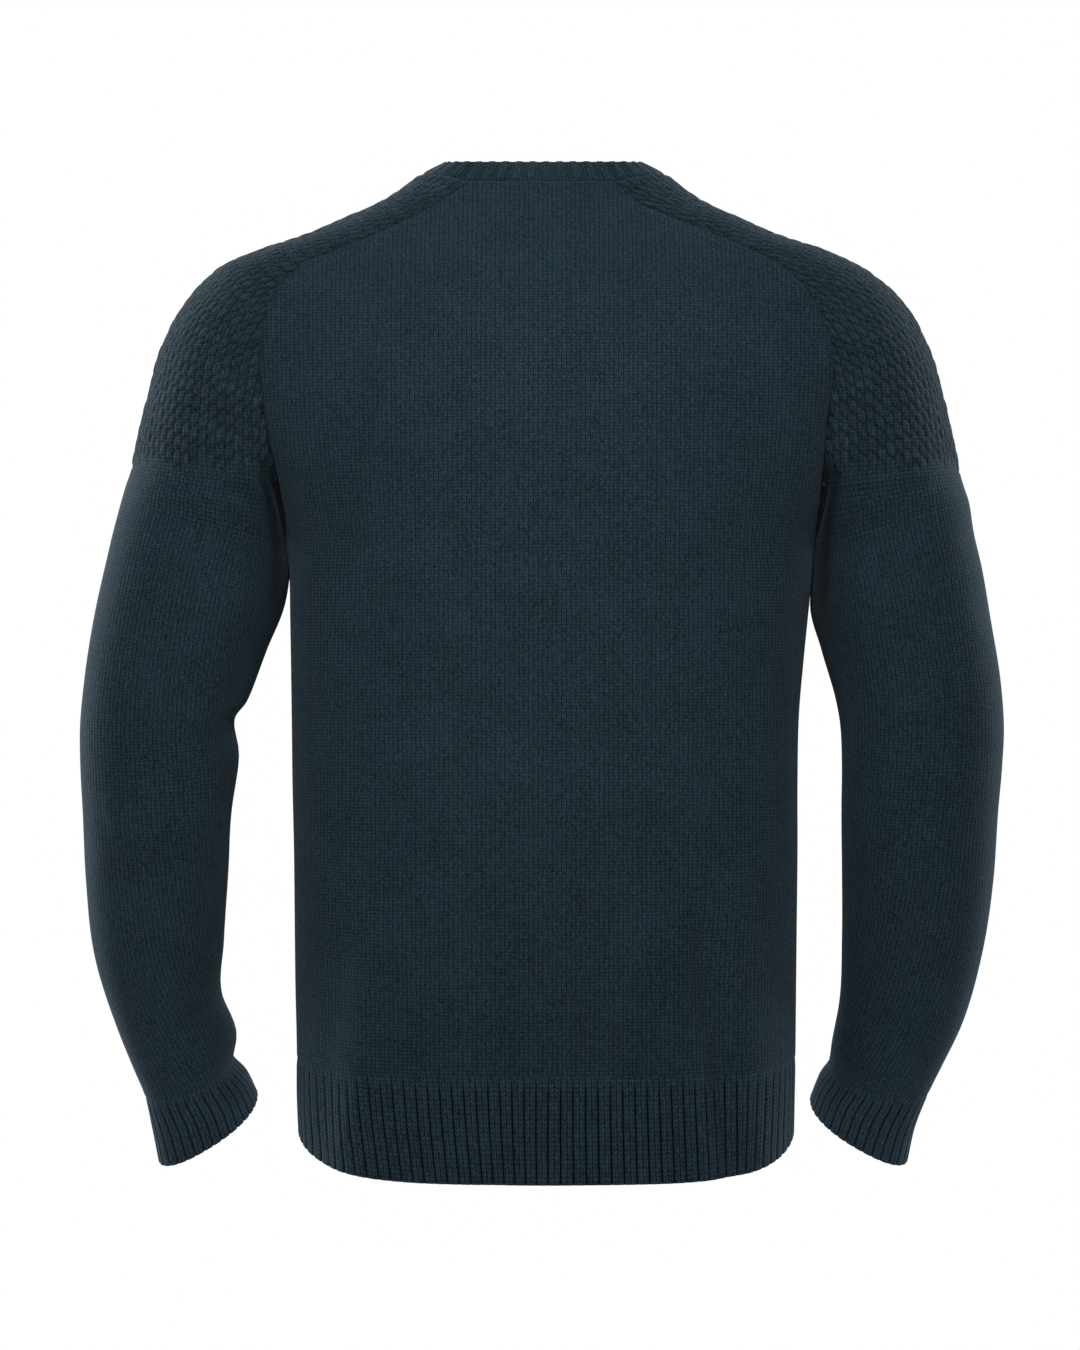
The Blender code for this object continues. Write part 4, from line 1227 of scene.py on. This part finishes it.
for name, arm in ARMS.items():
    above = rows_between(arm.at[CAP_ROWS - 1], UNDERARM_AT, YOKE_STEP)[:-1]
    below = rows_between(UNDERARM_AT, arm.at[CUFF_ROW], BODY_STEP)
    at = np.concatenate((above, below))
    sleeve = Cloth(arm.grid(at, WALE / 2))
    # Painted shade along the seam and in the underarm.
    clear = sleeve_relief(sleeve, name)
    far = nearest(sleeve.points, SEAMS[1, name], SEAMS[-1, name])[0]
    mesh = sleeve.wall(
        f"sleeve_{name}_jersey", JERSEY_WALL, fade=smoothstep(far / SEAM_REACH), clear=clear
    )
    piece = knit(mesh, jersey_relief, **JERSEY_KNIT)
    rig.ride(piece, "root")
    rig.replaces(piece, f"sleeve_{name}")
    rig.slot(piece, "jersey")
    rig.sheet(piece, held="hung", **cut_of(arm.lines(at)))


# ---- Ribbed hems --------------------------------------------------------------------------
# The hem is knitted on below the jersey in broad ribs of two wales each, parted by narrow
# grooves. Its edge is bound off and free.

RIB_WALL = 2.2
RIB_HEIGHT = 1.1
RIB_STARTS = 8.0  # the ribs rise from the jersey over this length
RIB_STEP = 2.0  # rows of the mesh
RIB_INSIDE = 6, 5  # the plain inside has every sixth row and fifth column
RIB_PHASES = (0.0, 0.07, 0.13, 0.27, 0.39, 0.5, 0.61, 0.73, 0.87, 0.93)
HEM_RIBS = 56
# Its second colour is the painted shade of its grooves.
RIB_YARN = lambswool("lambswool_rib", "#2F424D", "#0A1217", 0.5)

# How far the ribs lean by the hem's edge, towards the wearer's left, against their x
HEM_FAN = table(
    "x lean",
    (
        (-164, 0), (-155, 6), (-140, 5), (-125, 0), (-96, -2), (-40, -1), (0, 0), (50, -6.6),
        (110, -10), (146, -9), (160, -3), (164, 0),
    ),
)


def rib_tree(name, profile, dark):
    """The tree that raises ribs, whose height over one rib follows a profile."""
    tree, sockets = relief_tree(name, "Height")
    count = add_node(tree, ATTRIBUTE, {"Name": "rib"})
    phase = add_node(tree, MATH, (count,), operation="FRACT")
    curve = add_node(tree, "ShaderNodeFloatCurve", {"Factor": 1.0, "Value": phase})
    points = curve.mapping.curves[0].points
    while len(points) < len(profile):
        points.new(0.5, 0.5)
    for point, place in zip(points, profile):
        point.location = place
    curve.mapping.update()
    end_relief(tree, sockets, curve, 0.5, dark)
    return tree


broad_ribs = rib_tree(
    "ribs_of_two_wales",
    ((0.0, 0.0), (0.08, 0.3), (0.13, 0.82), (0.29, 1.0), (0.5, 0.88), (0.71, 1.0),
     (0.87, 0.82), (0.92, 0.3), (1.0, 0.0)),
    0.9,
)


def rib_columns(count, phases=RIB_PHASES):
    """Where the mesh's columns lie, counted in ribs, for a number of whole ribs."""
    return np.append((np.arange(count)[:, None] + phases).ravel(), count)


def evenly(lines, shares):
    """A grid of points at shares of each line's length, which are one row for each line."""
    lengths = running_length(lines)
    wanted = lengths[:, -1:] * shares
    return np.stack([points_at(*row) for row in zip(lines, lengths, wanted)])


def ribbed(lines, at, columns, shares, turned):
    """A rib's cloth: rows at a line each, columns at shares of it, numbered in ribs."""
    grid = evenly(lines, shares)
    numbers = np.broadcast_to(columns, grid.shape[:2])
    if turned:
        grid, numbers = grid[:, ::-1], numbers[:, ::-1]
    return Cloth((grid, numbers, np.broadcast_to(at[:, None], numbers.shape)))


def rib_mesh(cloth, name, wales, inside, fade, clear=None):
    """The wall of a rib, with how many ribs lie before each of its places.

    Each rib has a number of wales, so the stitches of the yarn fall on them.
    """
    mesh = cloth.wall(name, RIB_WALL, *inside, fade=fade, clear=clear)
    values = mesh.attributes["across"].data
    numbers = np.zeros(len(values), np.float32)
    values.foreach_get("value", numbers)
    mesh.attributes.new("rib", "FLOAT", "POINT").data.foreach_set("value", numbers)
    values.foreach_set("value", (numbers * wales + 0.5) * WALE)
    return mesh


columns = rib_columns(HEM_RIBS)
at = rows_between(at_height(RIB_TOP_Z), BODY_AT[-1], RIB_STEP)
down = (at - at[0]) / (at[-1] - at[0])
for side, name in ((1, "back"), (-1, "front")):
    lines = body_lines(side, at)
    top = evenly(lines[:1], columns / HEM_RIBS)[0, :, 0]
    lean = np.interp(side * top, HEM_FAN["x"], HEM_FAN["lean"]) * side
    shares = columns / HEM_RIBS - down[:, None] * lean / running_length(lines)[:, -1:]
    hem = ribbed(lines, at, columns, shares, side < 0)
    fade = smoothstep((hem.along - at[0]) / RIB_STARTS)
    mesh = rib_mesh(hem, f"hem_rib_{name}_knit", 2, RIB_INSIDE, fade)
    piece = knit(mesh, broad_ribs, Height=RIB_HEIGHT, Yarn=RIB_YARN)
    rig.ride(piece, "root")
    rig.replaces(piece, f"hem_rib_{name}")
    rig.slot(piece, "rib")
    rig.sheet(piece, held="hung", **cut_of(lines))


# ---- Cuffs --------------------------------------------------------------------------------
# The cuffs are knitted on to the sleeves in finer ribs of the same two wales.

CUFF_RIBS = 34
columns = rib_columns(CUFF_RIBS)
for name, arm in ARMS.items():
    at = rows_between(arm.at[CUFF_ROW], arm.at[-1], RIB_STEP)
    cuff = ribbed(arm.lines(at), at, columns, columns / CUFF_RIBS, arm.left)
    fade = smoothstep((cuff.along - at[0]) / RIB_STARTS)
    mesh = rib_mesh(cuff, f"cuff_{name}_knit", 2, RIB_INSIDE, fade)
    piece = knit(mesh, broad_ribs, Height=RIB_HEIGHT, Yarn=RIB_YARN)
    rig.ride(piece, "root")
    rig.replaces(piece, f"cuff_{name}")
    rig.slot(piece, "rib")
    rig.sheet(piece, held="hung", **cut_of(arm.lines(at)))


# ---- Neckband -----------------------------------------------------------------------------
# The neckband is a narrow rib, linked on round the neck, and its two ends are cut on a
# slant and joined in a mitre at the point of the V.

NECKBAND_RIBS = 72
BAND_ROWS = 11
BAND_RIB_HEIGHT = 0.9
BAND_PHASES = (0.0, 0.07, 0.14, 0.25, 0.36, 0.43, 0.5, 0.57, 0.64, 0.75, 0.86, 0.93)
BAND_WIDTH = 20.0
BAND_LEVEL = 14.6, 0.092  # its edge is no higher than this at y = 0, less a share of y
BAND_BULGE = 0.8
MITRE_PART = 0.05  # half the gap between its ends in the mitre
# Which way the band stands up from its seam, on the wearer's left
BAND_ON_V = np.array((-0.92, 0.0, 0.39))
BAND_ON_RIDGE = np.array((-0.91, 0.0, 0.41))
BAND_ON_BACK_CORNER = np.array((-0.36, -0.50, 0.79))
BAND_ON_BACK = np.array((0.0, -0.69, 0.72))
MIRROR = np.array([-1.0, 1.0, 1.0])


def between(start, end, share):
    """Ways that turn from start to end with each share."""
    return start + (end - start) * np.asarray(share)[:, None]


def share_of(points):
    """How far along a line each of its points is, from 0 to 1."""
    lengths = running_length(points)
    return lengths / lengths[-1]


def stands_over(line):
    """How the band stands over a shoulder, along its line from the front to the back."""
    front, back = share_of(line[: SAMPLES + 1]), share_of(line[SAMPLES:])
    return np.vstack(
        [
            between(BAND_ON_V, BAND_ON_RIDGE, front[:-1]),
            between(BAND_ON_RIDGE, BAND_ON_BACK_CORNER, back**2),
        ]
    )


# The loop of the neck's seam runs from the V over the left shoulder, across the back and
# over the right shoulder to the V again.
over_left = ARMS["left"].lines(np.array([0.0]))[0][::-1]
over_right = ARMS["right"].lines(np.array([0.0]))[0]
back_top = body_lines(1, np.array([0.0]))[0]
loop = np.vstack([V_LEFT[::-1], over_left[1:], back_top[1:-1], over_right, V_RIGHT[1:]])
aside = 1.0 - 2.0 * share_of(back_top)
stands_back = between(BAND_ON_BACK, BAND_ON_BACK_CORNER, np.abs(aside))
stands_back[aside < 0] *= MIRROR
stands = np.vstack(
    [
        np.broadcast_to(BAND_ON_V, V_LEFT.shape),
        stands_over(over_left)[1:],
        stands_back[1:-1],
        stands_over(over_right[::-1])[::-1] * MIRROR,
        np.broadcast_to(BAND_ON_V * MIRROR, V_RIGHT[1:].shape),
    ]
)
stands /= np.linalg.norm(stands, axis=1)[:, None]
on_v = np.zeros(len(loop), bool)
on_v[: len(V_LEFT)] = on_v[-len(V_RIGHT) + 1 :] = True
sides = np.where(np.arange(len(loop)) < len(loop) / 2, 1.0, -1.0)
seam = loop.copy()
seam[on_v, 0] = (sides * np.maximum(np.abs(loop[:, 0]), MITRE_PART))[on_v]
width = np.full(len(loop), BAND_WIDTH)
short = (np.abs(seam[:, 0]) - MITRE_PART) / np.abs(stands[:, 0] + 1e-9)
width[on_v] = np.minimum(BAND_WIDTH, short[on_v])
level = BAND_LEVEL[0] - BAND_LEVEL[1] * (seam[:, 1] + stands[:, 1] * BAND_WIDTH)
width = np.minimum(width, (level - seam[:, 2]) / stands[:, 2])
outward = np.stack([seam[:, 0], seam[:, 1], -seam[:, 1] / 3], axis=1)
outward /= np.linalg.norm(seam, axis=1)[:, None]
run = running_length(seam)
columns = rib_columns(NECKBAND_RIBS, BAND_PHASES)
wanted = columns / NECKBAND_RIBS * run[-1]
rows = []
for share in np.linspace(1.0, 0.0, BAND_ROWS):
    bulge = BAND_BULGE * 4 * share * (1 - share) * width / BAND_WIDTH
    row = seam + stands * (width * share)[:, None] + outward * bulge[:, None]
    rows.append(points_at(row, run, wanted))
grid = np.array(rows)
numbers = np.broadcast_to(columns[None], grid.shape[:2])
down = np.linspace(0.0, BAND_WIDTH, len(grid))[:, None]
band = Cloth((grid, numbers, np.broadcast_to(down, grid.shape[:2])))
far, way, place = nearest(band.points, neck_line(seam))
band.raise_by(groove(far, NECK_DIP, NECK_DIP_WIDTH), (far, way))
fine_ribs = rib_tree(
    "ribs_of_two_wales_and_two_between",
    ((0.0, 0.45), (0.06, 0.8), (0.14, 1.0), (0.25, 0.85), (0.36, 1.0), (0.44, 0.8),
     (0.5, 0.45), (0.56, 0.15), (0.64, 0.35), (0.75, 0.1), (0.86, 0.35), (0.94, 0.15),
     (1.0, 0.45)),
    0.45,
)
# The band's seam line is painted shade.
mesh = rib_mesh(band, "neckband_knit", 4, (5, 6), smoothstep(far / 4.0),
                seam_shade(far / NECK_LINE, place))
piece = knit(mesh, fine_ribs, Height=BAND_RIB_HEIGHT, Yarn=RIB_YARN)
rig.ride(piece, "root")
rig.replaces(piece, "neckband")
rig.slot(piece, "rib")
band_cut = (float(run[-1] * MM), BAND_WIDTH * MM)
band_area = ((width[1:] + width[:-1]) / 2 * np.diff(run)).sum() * MM * MM
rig.sheet(piece, flat=band_cut, held="stretched", area=float(band_area))

with open("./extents.json", "w") as sizes:
    json.dump({"cad": [list(v) for v in cad_box], "scene": [list(v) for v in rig.bounds()]}, sizes)
